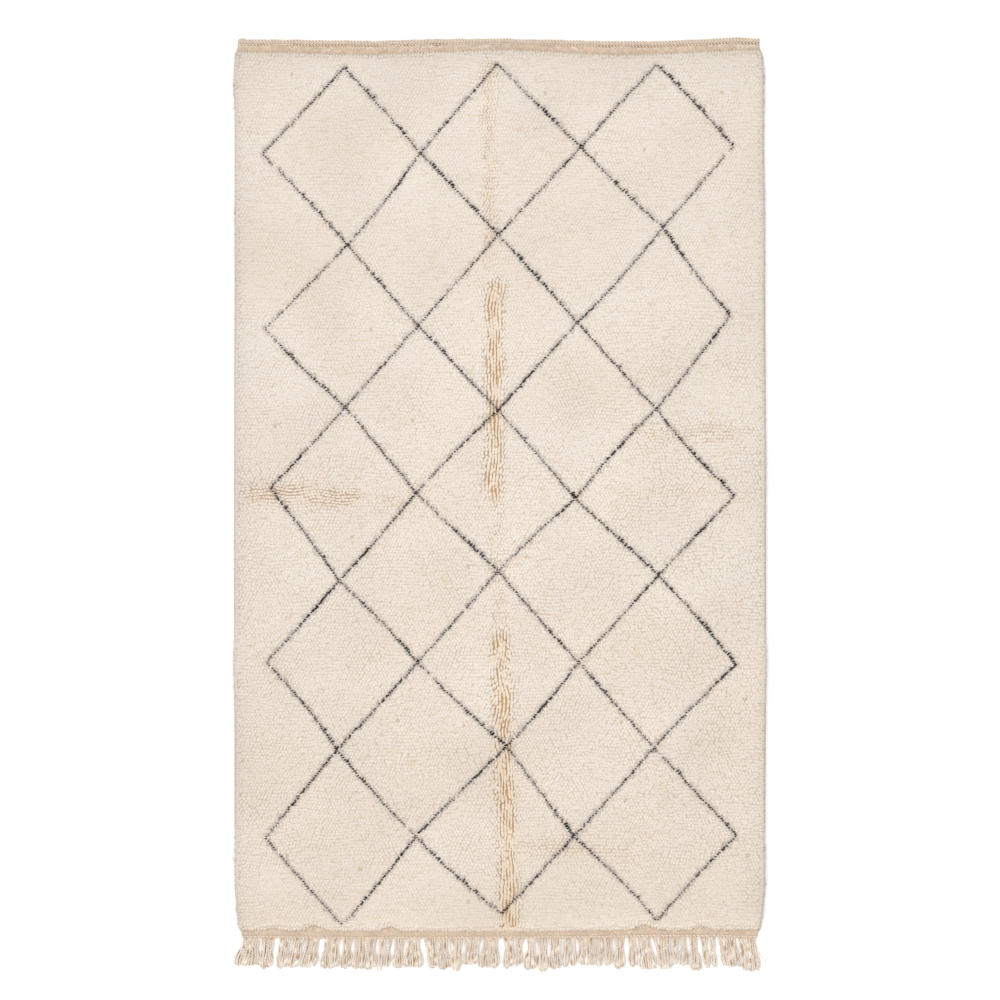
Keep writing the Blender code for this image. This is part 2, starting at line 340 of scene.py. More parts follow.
# Painted shade at the sides and the top of the pile, and painted light on the slope of its foot.
PAINTED_EDGE_SHADING = [
    # side of the pile, how much lighter there, reach in millimetres
    ("left", -0.075, 32),
    ("right", -0.020, 50),
    ("top", -0.040, 70),
    ("top", -0.100, 14),
    ("foot", 0.170, 18),
]
TINT_SPREAD = 1.1              # how far the tint of a trough reaches, in half widths
TINT_ACROSS = 0.7              # how much of it a trough across the rug has
SHADE_STRAY = 0.008            # from lock to lock
FLECK_SHARE = 0.0007           # so many of the locks are brownish flecks
FLECK_SHADE = 0.85
FLECK_WARMTH = 0.8
SIDE_PAINTED_SHADE = 0.5                # painted grey shade along the sides
SIDE_PAINTED_SHADE_REACH = 8 * MM

# The lattice of dark knots
LOZENGES_ACROSS = 3
LOZENGES_ALONG = 5
LATTICE_FROM = (-668 * MM, -1168 * MM)
LATTICE_TO = (662 * MM, 1238 * MM)
LATTICE_STRAY = 11 * MM        # how far its crossings stray
LINE_BOW = 5 * MM              # how far a side of a lozenge bows
DARK_ROW = 6.2 * MM            # from one dark knot of a line to the next, along the rug
DARK_STRAY = (1.1 * MM, 0.6 * MM)
DARK_HALF_WIDTH = 4.6 * MM
DARK_HALF_LENGTH = 2.7 * MM
DARK_DEPTH = 5.0 * MM
FAINTEST = 0.15                # no knot is drawn where a line is fainter
BOLD = 0.95                    # where it is bolder, some knots are doubled
DOUBLED_SHARE = 0.6
CLEARING = 8.0 * MM            # cream locks this near a dark knot sink a little
CLEARING_DEPTH = 2.6 * MM
HAZE_REACH = 13 * MM           # how far the dark fibres tint their neighbours
FIBRES = 4500                  # loose dark fibres along the lines
FIBRE_STRAY = 3.6 * MM
FIBRE_REACH = 6.5 * MM
FIBRE_RADIUS = 0.40 * MM

# The woven ground
GROUND_COLUMN = 5.0 * MM       # one crossing of its yarns, across the rug
BAND_ROWS = 9                  # rows of crossings in each band
FIELD_ROWS = 8                 # rows under the pile, where nothing shows
BAND_UNDER_PILE = 6 * MM       # how far the fine rows run on under the pile
WEAVE_DEPTH = 0.5 * MM
WEAVE_STRAY = 0.6              # how much the crossings differ, as a share of that depth
WARP_STRAY = 0.6 * MM
RIM_INSET = 0.8 * MM
BAND_LIFT = 2.4 * MM           # how far the upper band rises to the cord sewn to it
LIFT_REACH = 9 * MM
WEAVE_TONE = 0.36              # how light it is halfway up a crossing, from 0 to 1, darker in the dips with painted shade
CORD_LIGHT = 0.42              # how much lighter at the cord: painted light against its shadow
FOOT_LIGHT = 0.28              # how much lighter the lower band is close to the pile: painted light against its shade
FOOT_LIGHT_REACH = 6 * MM
TOP_SHADE = 0.20               # and how much darker the upper one is there: painted shade of the pile
TOP_SHADE_REACH = 9 * MM
BAND_CONTRAST = 0.07           # apart from that the upper one is lighter by twice this
UNDERSIDE_TONE = 0.45

# The cords
HEADING_STRAND = 2.3 * MM      # radius of a strand of the heading cord
HEADING_PITCH = 18 * MM
HEADING_CORE = 3.0 * MM        # radius of what fills it, and how high that lies
HEADING_CORE_HEIGHT = 4.2 * MM
NUB_AT = -729 * MM             # the knot at its left end
NUB_HALF_WIDTH = 9 * MM
NUB_DEPTH = 4.5 * MM
SEAM_STRAND = 1.6 * MM
SEAM_PITCH = 9.2 * MM
SEAM_CORE = 1.8 * MM
CLOSING_STRAND = 1.7 * MM
CLOSING_PITCH = 11.3 * MM
CLOSING_CORE = 2.2 * MM
CLOSING_CORE_HEIGHT = 2.4 * MM
TUBE_SIDES = 5

# The yarns of the fringe
YARN_RADIUS = 2.5 * MM         # one warp end, two plies twisted
PLY_RADIUS = 1.35 * MM
PLY_PITCH = 16 * MM
LOOP_RADIUS = 3.8 * MM         # of the bend at the tip of a warp loop
LOOP_SPACING = 10.0 * MM       # the two legs of a warp loop side by side
LEG_REACHES = (-0.3, 0.25, 0.55, 0.9)  # how wide they stand at the root, negative if crossed
LEG_SWAY = 1.3 * MM
LAYER_HEIGHT = 2.4 * MM        # every second loop lies on its neighbours
TIP_SHIFT = 1.8 * MM
TIP_ROUNDING = 7 * MM          # how much shorter a bunch is at its two sides
UNDER_SPACING = 4.4 * MM       # the yarns that lie under the loops, darkened with painted shade
UNDER_RADIUS = 2.3 * MM
PINCH = 3.2 * MM               # how far a bunch draws in below its root and spreads lower down
PINCH_SHARE = 0.18             # and at most this share of its width
ROOT_SHADE = 0.3               # how much darker it is at the root, as painted shade
ROOT_SHADE_REACH = 9 * MM

# Smooth random variations from place to place.
DRIFTS = {
    # what varies: strength, size of its features in millimetres, seed
    "columns": (3.5 * MM, 150, 11),
    "rows": (3.0 * MM, 170, 12),
    "lean across": (0.28, 260, 13),
    "fine lean across": (0.10, 45, 14),
    "lean along": (0.15, 200, 15),
    "lined columns": (1.3 * MM, 45, 17),
    "lined rows": (1.6 * MM, 60, 18),
    "gaps between columns": (0.8, 55, 21),
    "gaps between rows": (0.8, 80, 22),
    "shade": (0.012, 300, 41),
    "warmth": (0.04, 420, 42),
    "line": (1.0, 110, 61),
    "band": (0.07, 70, 93),
    "heading": (0.4 * MM, 40, 95),
    "seam": (0.4 * MM, 60, 97),
    "seam colour": (0.28, 90, 98),
    "under yarns": (0.34, 22, 117),
}
DRIFT_WAVES = 14

# ---- colours and light

# Cream wool from the depth where the pile parts up to the crests of its locks; the darker ochre low
# on this scale is painted shade between the locks.
PILE_COLOURS = [
    (0.00, (0.55, 0.36, 0.18)),
    (0.12, (0.60, 0.45, 0.28)),
    (0.30, (0.66, 0.55, 0.42)),
    (0.65, (0.715, 0.65, 0.58)),
    (1.00, (0.76, 0.705, 0.635)),
]
WARM_CAST = (0.86, 0.745, 0.61)
GROOVE_SHADE_COLOUR = (0.62, 0.48, 0.33)
# The grey of the dark fibres' tint, also painted as shade along the pile's sides.
HAZE_AND_SHADE_COLOUR = (0.285, 0.245, 0.250)

# Dark wool from bold to faded.
DARK_COLOURS = [
    (0.0, (0.018, 0.012, 0.010)),
    (0.5, (0.070, 0.049, 0.042)),
    (1.0, (0.275, 0.230, 0.232)),
]

# The weft of the bands from its dips up; the darker dips are painted shade.
BAND_COLOURS = [
    (0.00, (0.46, 0.35, 0.25)),
    (0.76, (0.76, 0.65, 0.545)),
    (1.00, (0.95, 0.85, 0.74)),
]
BAND_BLOTCH = (0.66, 0.49, 0.345)

# Yarns, between their plies and on them; the darker colour between the plies is painted shade.
HEADING_COLOURS = [(0.0, (0.36, 0.25, 0.155)), (1.0, (0.76, 0.65, 0.54))]
SEAM_COLOURS = [(0.0, (0.38, 0.20, 0.08)), (1.0, (0.86, 0.76, 0.645))]
CLOSING_COLOURS = [(0.0, (0.48, 0.32, 0.20)), (1.0, (0.90, 0.79, 0.67))]
FRINGE_COLOURS = [(0.0, (0.52, 0.345, 0.19)), (1.0, (0.95, 0.90, 0.835))]

FLOOR_COLOUR = (0.92, 0.92, 0.92, 1.0)
FLOOR_HALF_SIZE = 14.0
SURROUND_STRENGTH = 0.93
LAMP_PLACE = (-2.4, 2.6, 6.0)
LAMP_SPREAD = math.radians(35)
LAMP_STRENGTH = 1.1
LENS = 100.0
SENSOR = 36.0
PICTURE_WIDTH = 2.82           # what the camera sees across, at the height of the pile
PICTURE_MIDDLE = 0.0141


# ---- reading the tables

def eased(table, at, index=1, unit=MM):
    """What a table says between its stations, level at each of them."""
    stations = np.array(sorted(table), float)
    places = stations[:, 0] * MM
    values = stations[:, index] * unit
    at = np.clip(at, places[0], places[-1])
    after = np.clip(np.searchsorted(places, at), 1, len(places) - 1)
    share = (at - places[after - 1]) / (places[after] - places[after - 1])
    share = share * share * (3 - 2 * share)
    return values[after - 1] + share * (values[after] - values[after - 1])


def steps(start, end, step):
    """Even stations from start to end, no further apart than step."""
    return np.linspace(start, end, max(2, math.ceil((end - start) / step) + 1))


def fading(distance, reach):
    """What is left at this distance of something that is 1 at its source."""
    return np.exp(-distance / reach)


def left_side(along):
    return eased(OUTLINE, along)


def right_side(along):
    return eased(OUTLINE, along, 2)


def band_top(across):
    return TOP_EDGE + eased(TOP_WAVE, across) - HEADING_DEPTH - GAP


def band_foot(across):
    return ROOT_LINE + eased(ROOT_WAVE, across)


def comb_root(across):
    """Where the fringe starts, below the closing cord."""
    return band_foot(across) - 2 * GAP - CLOSING_DEPTH


def pile_top(across):
    return eased(PILE_TOP, across)


def pile_foot(across):
    along = eased(PILE_FOOT, across)
    for place, height, half_width in SCALLOPS:
        nearness = (across - place * MM) / (half_width * MM)
        along = along + height * MM * np.exp(-4 * nearness ** 2)
    return along


def between_sides(shares, along, inset):
    """A grid from side to side, given the shares across and how far along each place lies."""
    x = (shares - 0.5) * PILE_WIDTH
    for _ in range(2):
        y = along(x)
        left = left_side(y) + inset
        right = right_side(y) - inset
        x = left + shares * (right - left)
    return x, y


def edge_distances(x, y):
    """How far places lie inside the pile's left, right, lower and upper edge."""
    return x - left_side(y), right_side(y) - x, y - pile_foot(x), pile_top(x) - y


def partings(across, along):
    """For each trough: how far off places lie, its depth, half width, and if it runs down."""
    for x0, y0, x1, y1, depth, half_width in PARTINGS:
        start = np.array([x0, y0]) * MM
        way = np.array([x1, y1]) * MM - start
        share = ((across - start[0]) * way[0] + (along - start[1]) * way[1]) / (way @ way)
        share = np.clip(share, 0.0, 1.0)
        gap_across = across - start[0] - share * way[0]
        gap_along = along - start[1] - share * way[1]
        runs_down = abs(way[1]) > abs(way[0])
        yield np.hypot(gap_across, gap_along), depth * MM, half_width * MM, runs_down


def parting_zone(across, along, down, spread=LINED_SPREAD):
    """How strongly the locks lie in lines here: down the rug if so asked, else across."""
    zone = np.zeros_like(across)
    for distance, depth, half_width, runs_down in partings(across, along):
        if runs_down == down:
            near = np.exp(-(distance / (spread * half_width)) ** 4)
            zone = np.maximum(zone, min(depth / FULL_PARTING, 1.0) * near)
    return zone


def pile_height(across, along):
    """The height of the pile: a gentle swell, less the deepest parting here."""
    pace_across, start_across = SWELL_ACROSS
    pace_along, start_along = SWELL_ALONG
    swell = np.sin(pace_across * across + start_across) * np.sin(pace_along * along + start_along)
    deepest = np.zeros_like(across)
    for distance, depth, half_width, _ in partings(across, along):
        deepest = np.maximum(deepest, depth * np.exp(-2 * (distance / half_width) ** 2))
    below = np.clip(along - pile_foot(across), 0, None)
    taper = FOOT_TAPER * fading(below, FOOT_TAPER_REACH)
    return PILE_HEIGHT + SWELL * swell - deepest - taper


def relief(across, along):
    """How strong the grain of the pile is here, as a share of its full depth."""
    to_right = 1 + RELIEF_TO_RIGHT * np.clip(across / (PILE_WIDTH / 2), 0, 1)
    return eased(RELIEF, along, unit=1) * to_right


def drift(name, across, along=0.0):
    """One of the smooth random variations, as a sum of waves that run every way."""
    strength, size, seed = DRIFTS[name]
    draw = np.random.default_rng(seed)
    total = np.zeros_like(across)
    for _ in range(DRIFT_WAVES):
        heading = draw.uniform(0, math.tau)
        pace = math.tau / (size * MM) * draw.uniform(0.5, 1.3)
        shift = draw.uniform(0, math.tau)
        total += np.sin(pace * (across * math.cos(heading) + along * math.sin(heading)) + shift)
    return strength / math.sqrt(DRIFT_WAVES / 2) * total


# ---- materials

def new_material(name, roughness, sheen, specular=0.15):
    """A dull material and its shader, with the soft sheen of wool."""
    material = bpy.data.materials.new(name)
    material.use_nodes = True
    shader = material.node_tree.nodes["Principled BSDF"]
    shader.inputs["Roughness"].default_value = roughness
    shader.inputs["Specular IOR Level"].default_value = specular
    shader.inputs["Sheen Weight"].default_value = sheen
    shader.inputs["Sheen Roughness"].default_value = 0.6
    return material, shader


def add_node(material, kind, **sockets):
    node = material.node_tree.nodes.new(kind)
    for name, value in sockets.items():
        node.inputs[name.replace("_", " ")].default_value = value
    return node


def link(material, output, socket):
    material.node_tree.links.new(output, socket)


def attribute(material, name):
    node = add_node(material, "ShaderNodeAttribute")
    node.attribute_name = name
    return node.outputs["Fac"]


def noise(material, size, detail=2.0, stretch=(1.0, 1.0, 1.0)):
    """Smooth noise with features of about the given size, from 0 to 1."""
    source = add_node(material, "ShaderNodeTexCoord")
    mapping = add_node(material, "ShaderNodeMapping", Scale=stretch)
    node = add_node(material, "ShaderNodeTexNoise", Scale=1.0 / size, Detail=detail)
    link(material, source.outputs["Object"], mapping.inputs["Vector"])
    link(material, mapping.outputs["Vector"], node.inputs["Vector"])
    return node.outputs["Fac"]


def remap(material, value, low, high, to_low, to_high):
    node = add_node(
        material, "ShaderNodeMapRange",
        From_Min=low, From_Max=high, To_Min=to_low, To_Max=to_high,
    )
    link(material, value, node.inputs["Value"])
    return node.outputs["Result"]


def ramp(material, value, stops):
    """Colours along a scale: stops are (place, colour)."""
    node = add_node(material, "ShaderNodeValToRGB")
    elements = node.color_ramp.elements
    while len(elements) < len(stops):
        elements.new(0.5)
    for element, (place, colour) in zip(elements, stops):
        element.position = place
        element.color = (*colour, 1.0)
    link(material, value, node.inputs["Fac"])
    return node.outputs["Color"]


def mixed(material, share, first, second, blend="MIX"):
    """A colour part way from the first, which is a node's, to the second, a plain one."""
    node = add_node(material, "ShaderNodeMixRGB")
    node.blend_type = blend
    node.inputs["Color2"].default_value = (*second, 1.0)
    link(material, share, node.inputs["Fac"])
    link(material, first, node.inputs["Color1"])
    return node.outputs["Color"]


def scaled(material, colour, factor):
    """A colour made lighter or darker by a value."""
    node = add_node(material, "ShaderNodeHueSaturation")
    link(material, colour, node.inputs["Color"])
    link(material, factor, node.inputs["Value"])
    return node.outputs["Color"]


def mottled(material, colour, size, darkest, lightest, detail=1.0):
    """A colour that gets lighter and darker in features of the given size."""
    tone = remap(material, noise(material, size, detail), 0.3, 0.7, darkest, lightest)
    return scaled(material, colour, tone)


def finish_wool(material, shader, colour, size, depth, strength=0.6, stretch=(1.0, 1.0, 1.0)):
    """Gives the shader its colour and the fine relief of its fibres."""
    link(material, colour, shader.inputs["Base Color"])
    fibres = add_node(material, "ShaderNodeBump", Strength=strength, Distance=depth)
    link(material, noise(material, size, stretch=stretch), fibres.inputs["Height"])
    link(material, fibres.outputs["Normal"], shader.inputs["Normal"])
    return material


def make_pile_wool():
    """Cream at the tips of the locks, ochre where they part and the depth shows: painted shade
    between the locks.
    """
    material, shader = new_material("pile_wool", 0.95, 0.25)
    # the rise paints shade: darker and more ochre low on the locks and between them
    colour = ramp(material, attribute(material, "rise"), PILE_COLOURS)
    colour = mixed(material, attribute(material, "warmth"), colour, WARM_CAST, "MULTIPLY")
    # the shade carries painted shade at the margins and painted light at the foot and in the
    # troughs
    colour = scaled(material, colour, attribute(material, "shade"))
    # painted shade: fine ochre streaks across the rug stand in for the shaded grooves between rows
    # of locks
    groove_shade = noise(material, 7.5 * MM, detail=1.0, stretch=(0.22, 1.0, 1.0))
    groove_shade = remap(material, groove_shade, 0.52, 0.78, 0.0, 0.5)
    colour = mixed(material, groove_shade, colour, GROOVE_SHADE_COLOUR)
    colour = mottled(material, colour, 3.6 * MM, 0.925, 1.075)
    # grey: the dark fibres' tint, and painted shade along the sides
    colour = mixed(material, attribute(material, "haze"), colour, HAZE_AND_SHADE_COLOUR)
    return finish_wool(material, shader, colour, 3.0 * MM, 0.8 * MM)


def make_dark_wool():
    """Near-black wool that has faded here and there to a greyish lilac."""
    material, shader = new_material("dark_pile_wool", 0.9, 0.1)
    colour = ramp(material, attribute(material, "rise"), DARK_COLOURS)
    colour = mottled(material, colour, 2.5 * MM, 0.7, 1.3)
    return finish_wool(material, shader, colour, 1.5 * MM, 0.5 * MM)


def make_band_wool():
    """The ground: fine beige weft, with painted shade in its dips."""
    material, shader = new_material("band_wool", 0.95, 0.2)
    colour = ramp(material, attribute(material, "rise"), BAND_COLOURS)
    blotches = remap(material, noise(material, 55 * MM), 0.38, 0.66, 0.0, 0.5)
    colour = mixed(material, blotches, colour, BAND_BLOTCH)
    return finish_wool(material, shader, colour, 1.5 * MM, 0.4 * MM, 0.7, (0.3, 1.0, 1.0))


def make_yarn(name, colours):
    """Twisted yarn: light on its plies, with painted shade between them, and fine fibres."""
    material, shader = new_material(name, 0.93, 0.25)
    colour = ramp(material, attribute(material, "rise"), colours)
    colour = mottled(material, colour, 9 * MM, 0.90, 1.08, detail=2.0)
    return finish_wool(material, shader, colour, 1.2 * MM, 0.3 * MM)


# ---- making meshes

def add_object(name, data):
    added = bpy.data.objects.new(name, data)
    bpy.context.scene.collection.objects.link(added)
    return added


def mesh_piece(name, points, faces, material, **attributes):
    """Points and triangles or quads as one smooth object, with a value at each point."""
    mesh = bpy.data.meshes.new(name)
    corners = faces.shape[1]
    mesh.vertices.add(len(points))
    mesh.vertices.foreach_set("co", np.ascontiguousarray(points, np.float32).ravel())
    mesh.loops.add(faces.size)
    mesh.loops.foreach_set("vertex_index", np.ascontiguousarray(faces, np.int32).ravel())
    mesh.polygons.add(len(faces))
    mesh.polygons.foreach_set("loop_start", np.arange(0, faces.size, corners, dtype=np.int32))
    mesh.update(calc_edges=True)
    mesh.shade_smooth()
    for attribute_name, values in attributes.items():
        layer = mesh.attributes.new(attribute_name, "FLOAT", "POINT")
        layer.data.foreach_set("value", np.ascontiguousarray(values, np.float32).ravel())
    mesh.materials.append(material)
    return add_object(name, mesh)


def grid_faces(index):
    """The quads between the points of a grid, given their numbers."""
    quads = np.stack([index[:-1, :-1], index[:-1, 1:], index[1:, 1:], index[1:, :-1]], -1)
    return quads.reshape(-1, 4)


def checkered_faces(index):
    """A grid's triangles, cut so that every second point stands as a bump of its own."""
    a, b = index[:-1, :-1], index[:-1, 1:]
    d, c = index[1:, :-1], index[1:, 1:]
    row, col = np.indices(a.shape)
    even = ((row + col) % 2 == 0)[..., None]
    first = np.where(even, np.stack([a, b, d], -1), np.stack([a, b, c], -1))
    second = np.where(even, np.stack([b, c, d], -1), np.stack([a, c, d], -1))
    return np.concatenate([first.reshape(-1, 3), second.reshape(-1, 3)])


def repeated_faces(one, points, count):
    """The faces of many forms alike, given those of one and its number of points."""
    return (np.array(one) + points * np.arange(count)[:, None, None]).reshape(-1, 3)


def set_map(piece, flat):
    """Gives every corner of the piece its place on the flat map, vertex by vertex."""
    mesh = piece.data
    corner_vertex = np.empty(len(mesh.loops), np.int32)
    mesh.loops.foreach_get("vertex_index", corner_vertex)
    layer = mesh.uv_layers.new(name="OFBake")
    layer.uv.foreach_set("vector", np.ascontiguousarray(flat[corner_vertex], np.float32).ravel())


# ---- locks of wool

def lock_group(count, **values):
    """Locks as a dictionary of arrays; a plain number holds for all of them."""
    locks = {}
    for name, value in values.items():
        locks[name] = value if np.ndim(value) else np.full(count, float(value))
    return locks


def kept(locks, chosen):
    """The locks that a mask or a list of numbers picks out."""
    return {name: values[chosen] for name, values in locks.items()}


def together(groups):
    """Several groups of locks as one."""
    return {name: np.concatenate([group[name] for group in groups]) for name in groups[0]}


def resting_places(x, y, z, heading):
    """What places locks along the pile's surface: their crests, headings and uprights."""
    ahead = 4 * MM * heading
    before = pile_height(x + ahead[:, 0], y + ahead[:, 1])
    behind = pile_height(x - ahead[:, 0], y - ahead[:, 1])
    slope = ((before - behind) / (8 * MM))[:, None]
    level = 1 / np.sqrt(1 + slope ** 2)
    return {
        "crest": np.column_stack([x, y, z]),
        "heading": np.column_stack([level * heading, level * slope]),
        "upright": np.column_stack([-level * slope * heading, level]),
    }


def lock_faces(count):
    """The triangles of many locks: a fan round the crest and a band down to the rim."""
    one = []
    for side in range(LOCK_RING):
        following = (side + 1) % LOCK_RING
        inner = (1 + side, 1 + following)
        outer = (1 + LOCK_RING + side, 1 + LOCK_RING + following)
        one.append((0, inner[0], inner[1]))
        one.append((inner[0], outer[0], outer[1]))
        one.append((inner[0], outer[1], inner[1]))
    return repeated_faces(one, len(LOCK_FORM), count)


def lock_forms(lined):
    """Each lock's form, from the usual one to that of locks in lines."""
    usual = np.array(LOCK_FORM)
    return usual + lined[:, None, None] * (np.array(LINED_FORM) - usual)


def lock_points(locks, forms):
    """The points of many locks, each in the frame of its place, heading and upright."""
    aside = locks["half_width"][:, None] * np.cross(locks["heading"], locks["upright"])
    ahead = locks["half_length"][:, None] * locks["heading"]
    raised = locks["depth"][:, None] * locks["upright"]
    return (
        locks["crest"][:, None, :]
        + forms[:, :, 0:1] * aside[:, None, :]
        + forms[:, :, 1:2] * ahead[:, None, :]
        + (forms[:, :, 2:3] - 1) * raised[:, None, :]
    )


def lock_map(forms):
    """Each lock's own cell of the map, so that no two share a place on it."""
    count = len(forms)
    cells = math.ceil(math.sqrt(count))
    which = np.arange(count)
    corner = np.stack([which % cells, which // cells], 1)
    return ((corner[:, None, :] + 0.5 + 0.44 * forms[:, :, :2]) / cells).reshape(-1, 2)


def locks_piece(name, locks, material):
    """One object from a dictionary of arrays that describe its locks."""
    forms = lock_forms(locks["lined"])
    points = lock_points(locks, forms)
    count, each, _ = points.shape
    # painted shade: a point's rise follows its height in the lock, so the rims between locks are
    # darker
    rise = np.maximum(forms[:, :, 2], locks["least_rise"][:, None])
    rise = np.clip(rise * locks["most_rise"][:, None], 0, 1)
    tints = {tint: np.repeat(locks[tint], each) for tint in ("shade", "warmth", "haze")}
    piece = mesh_piece(name, points.reshape(-1, 3), lock_faces(count), material, rise=rise, **tints)
    set_map(piece, lock_map(forms))
    return piece


# ---- the dark lattice

def lattice_strokes():
    """The lozenges' sides, each from one uneven crossing to another."""
    draw = np.random.default_rng(31)
    columns = 2 * LOZENGES_ACROSS
    rows = 2 * LOZENGES_ALONG
    start = np.array(LATTICE_FROM)
    span = np.array(LATTICE_TO) - start
    crossings = {}
    for i in range(columns + 1):
        for j in range(rows + 1):
            place = start + span * (i / columns, j / rows)
            crossings[i, j] = draw.normal(place, LATTICE_STRAY)
    strokes = []
    for i in range(columns):
        for j in range(rows):
            if (i + j) % 2:
                strokes.append((crossings[i, j], crossings[i + 1, j + 1]))
            else:
                strokes.append((crossings[i + 1, j], crossings[i, j + 1]))
    return strokes


def dark_places():
    """Where the dark knots are, one in each row a line crosses, and how bold each is."""
    draw = np.random.default_rng(47)
    spots = []
    strengths = []
    for number, (start, end) in enumerate(lattice_strokes()):
        way = end - start
        count = int(abs(way[1]) / DARK_ROW)
        shares = (np.arange(count) + 0.5) / count
        bow = draw.normal(0, LINE_BOW) * np.sin(math.pi * shares)
        here = start + shares[:, None] * way
        here[:, 0] += bow + draw.normal(0, DARK_STRAY[0], count)
        here[:, 1] += draw.normal(0, DARK_STRAY[1], count)
        fade = np.clip(drift("line", shares * abs(way[1]), float(number)), -1.5, 2.0)
        strength = 0.76 + 0.26 * fade + draw.normal(0, 0.14, count)
        shown = strength > FAINTEST
        spots.append(here[shown])
        strengths.append(strength[shown])
        bold = (strength > BOLD) & (draw.random(count) < DOUBLED_SHARE)
        doubles = here[bold] + DARK_ROW / 2
        spots.append(doubles + draw.normal(0, 1.0 * MM, doubles.shape))
        strengths.append(strength[bold])
    return np.concatenate(spots), np.clip(np.concatenate(strengths), 0.0, 1.3)


def dark_locks(spots, strengths):
    """The dark knots: short arches across the line of their row."""
    draw = np.random.default_rng(83)
    count = len(spots)
    x, y = spots.T
    angle = draw.normal(-math.pi / 2, 0.35, count)
    heading = np.stack([np.cos(angle), np.sin(angle)], 1)
    size = np.clip(0.60 * strengths + draw.normal(0.55, 0.12, count), 0.4, 1.45)
    z = pile_height(x, y) + draw.normal(0.2 * MM, CREST_STRAY, count)
    tone = np.clip(draw.normal(1.05, 0.12, count) - 0.95 * strengths, 0, 1)
    return lock_group(
        count,
        **resting_places(x, y, z, heading),
        half_length=DARK_HALF_LENGTH * (0.85 + 0.25 * size),
        half_width=DARK_HALF_WIDTH * size,
        depth=DARK_DEPTH,
        lined=0.6,
        least_rise=1,
        most_rise=tone,
        shade=1,
        warmth=0,
        haze=0,
    )


def make_fibres(spots, dark_wool):
    """Loose dark fibres, thin spindles that stray over the locks beside the lines."""
    draw = np.random.default_rng(89)
    middle = draw.normal(spots[draw.integers(0, len(spots), FIBRES)], FIBRE_STRAY)
    angle = draw.uniform(0, math.tau, FIBRES)
    reach = FIBRE_REACH * draw.uniform(0.5, 1.2, (FIBRES, 1))
    way = np.column_stack([np.cos(angle), np.sin(angle), draw.normal(0, 0.06, FIBRES)])
    left = np.column_stack([-np.sin(angle), np.cos(angle), np.zeros(FIBRES)])
    centre = np.column_stack([middle, pile_height(*middle.T) + 0.5 * MM])
    points = np.stack([
        centre - reach * way,
        centre + reach * way,
        centre + FIBRE_RADIUS * left,
        centre + FIBRE_RADIUS * np.array([0.0, 0.0, 1.0]),
        centre - FIBRE_RADIUS * left,
    ], 1)
    one = []
    for here, following in ((2, 3), (3, 4), (4, 2)):
        one.append((here, following, 1))
        one.append((following, here, 0))
    faces = repeated_faces(one, points.shape[1], FIBRES)
    tone = np.repeat(draw.uniform(0.1, 1.0, FIBRES), points.shape[1])
    return mesh_piece("lattice_fibres", points.reshape(-1, 3), faces, dark_wool, rise=tone)


# ---- the knotted field

def opening(name, number, place, zone):
    """How far the gap with this number is open at a place along it, from 0 to 1."""
    ragged = drift(name, number * GAP_STEP, place)
    return zone * np.clip(GAP_MEAN + ragged, *GAP_RANGE)


def wool_tint(x, y, draw):
    """The wool's shade and warmth: painted shade at the margins, painted light at the foot and in
    the troughs, warmer low down and at partings.
    """
    left, right, below, above = np.clip(edge_distances(x, y), 0, None)
    inside = {"left": left, "right": right, "foot": below, "top": above}
    down = parting_zone(x, y, True, TINT_SPREAD)
    across = parting_zone(x, y, False, TINT_SPREAD)
    where = {
        "everywhere": 1.0,
        "middle": np.exp(-(x / (500 * MM)) ** 2 - ((y - 100 * MM) / (1100 * MM)) ** 2),
        "low": np.clip(0.5 - y / (1600 * MM), 0, 1) ** 2,
        "parted": np.maximum(down, TINT_ACROSS * across),
        "flat": np.clip(1 - relief(x, y), 0, 1),
    }
    shade = drift("shade", x, y) + draw.normal(0, SHADE_STRAY, len(x))
    warmth = drift("warmth", x, y)
    # the extra lightness in the troughs is painted light
    for place, lighter, warmer in TINTS:
        shade += lighter * where[place]
        warmth += warmer * where[place]
    # painted shade at the sides and top, painted light at the foot
    for side, lighter, reach in PAINTED_EDGE_SHADING:
        shade += lighter * fading(inside[side], reach * MM)
    fleck = draw.random(len(x)) < FLECK_SHARE
    return {
        "shade": np.where(fleck, FLECK_SHADE, shade),
        "warmth": np.clip(np.where(fleck, FLECK_WARMTH, warmth), 0, 1),
        # painted grey shade along the pile's sides
        "haze": SIDE_PAINTED_SHADE * fading(np.minimum(left, right), SIDE_PAINTED_SHADE_REACH),
    }


def field_heading(x, y, parted, draw):
    """Which way the locks lean: down the rug, and outwards near its sides and foot."""
    left, right, below, _ = edge_distances(x, y)
    lean_x = drift("lean across", x, y) + drift("fine lean across", x, y)
    lean_x += LEAN_SPREAD * 2 * x / PILE_WIDTH * np.clip(0.2 - y / (1000 * MM), 0, 1)
    lean_x *= 1 - 0.8 * parted
    lean_x += LEAN_OUT * (fading(right, LEAN_OUT_REACH) - fading(left, LEAN_OUT_REACH))
    lean_x += draw.normal(0, LEAN_STRAY, len(x)) * (1 - 0.6 * parted)
    lean_y = drift("lean along", x, y) - 1.0 - LEAN_DOWN * fading(below, LEAN_DOWN_REACH)
    return np.stack([lean_x, lean_y], 1) / np.hypot(lean_x, lean_y)[:, None]


def first_inset(rows):
    """How far from the pile's edge the level field ends and the first bent row starts."""
    return rows[0][0] * MM + KNOT_PITCH / 3


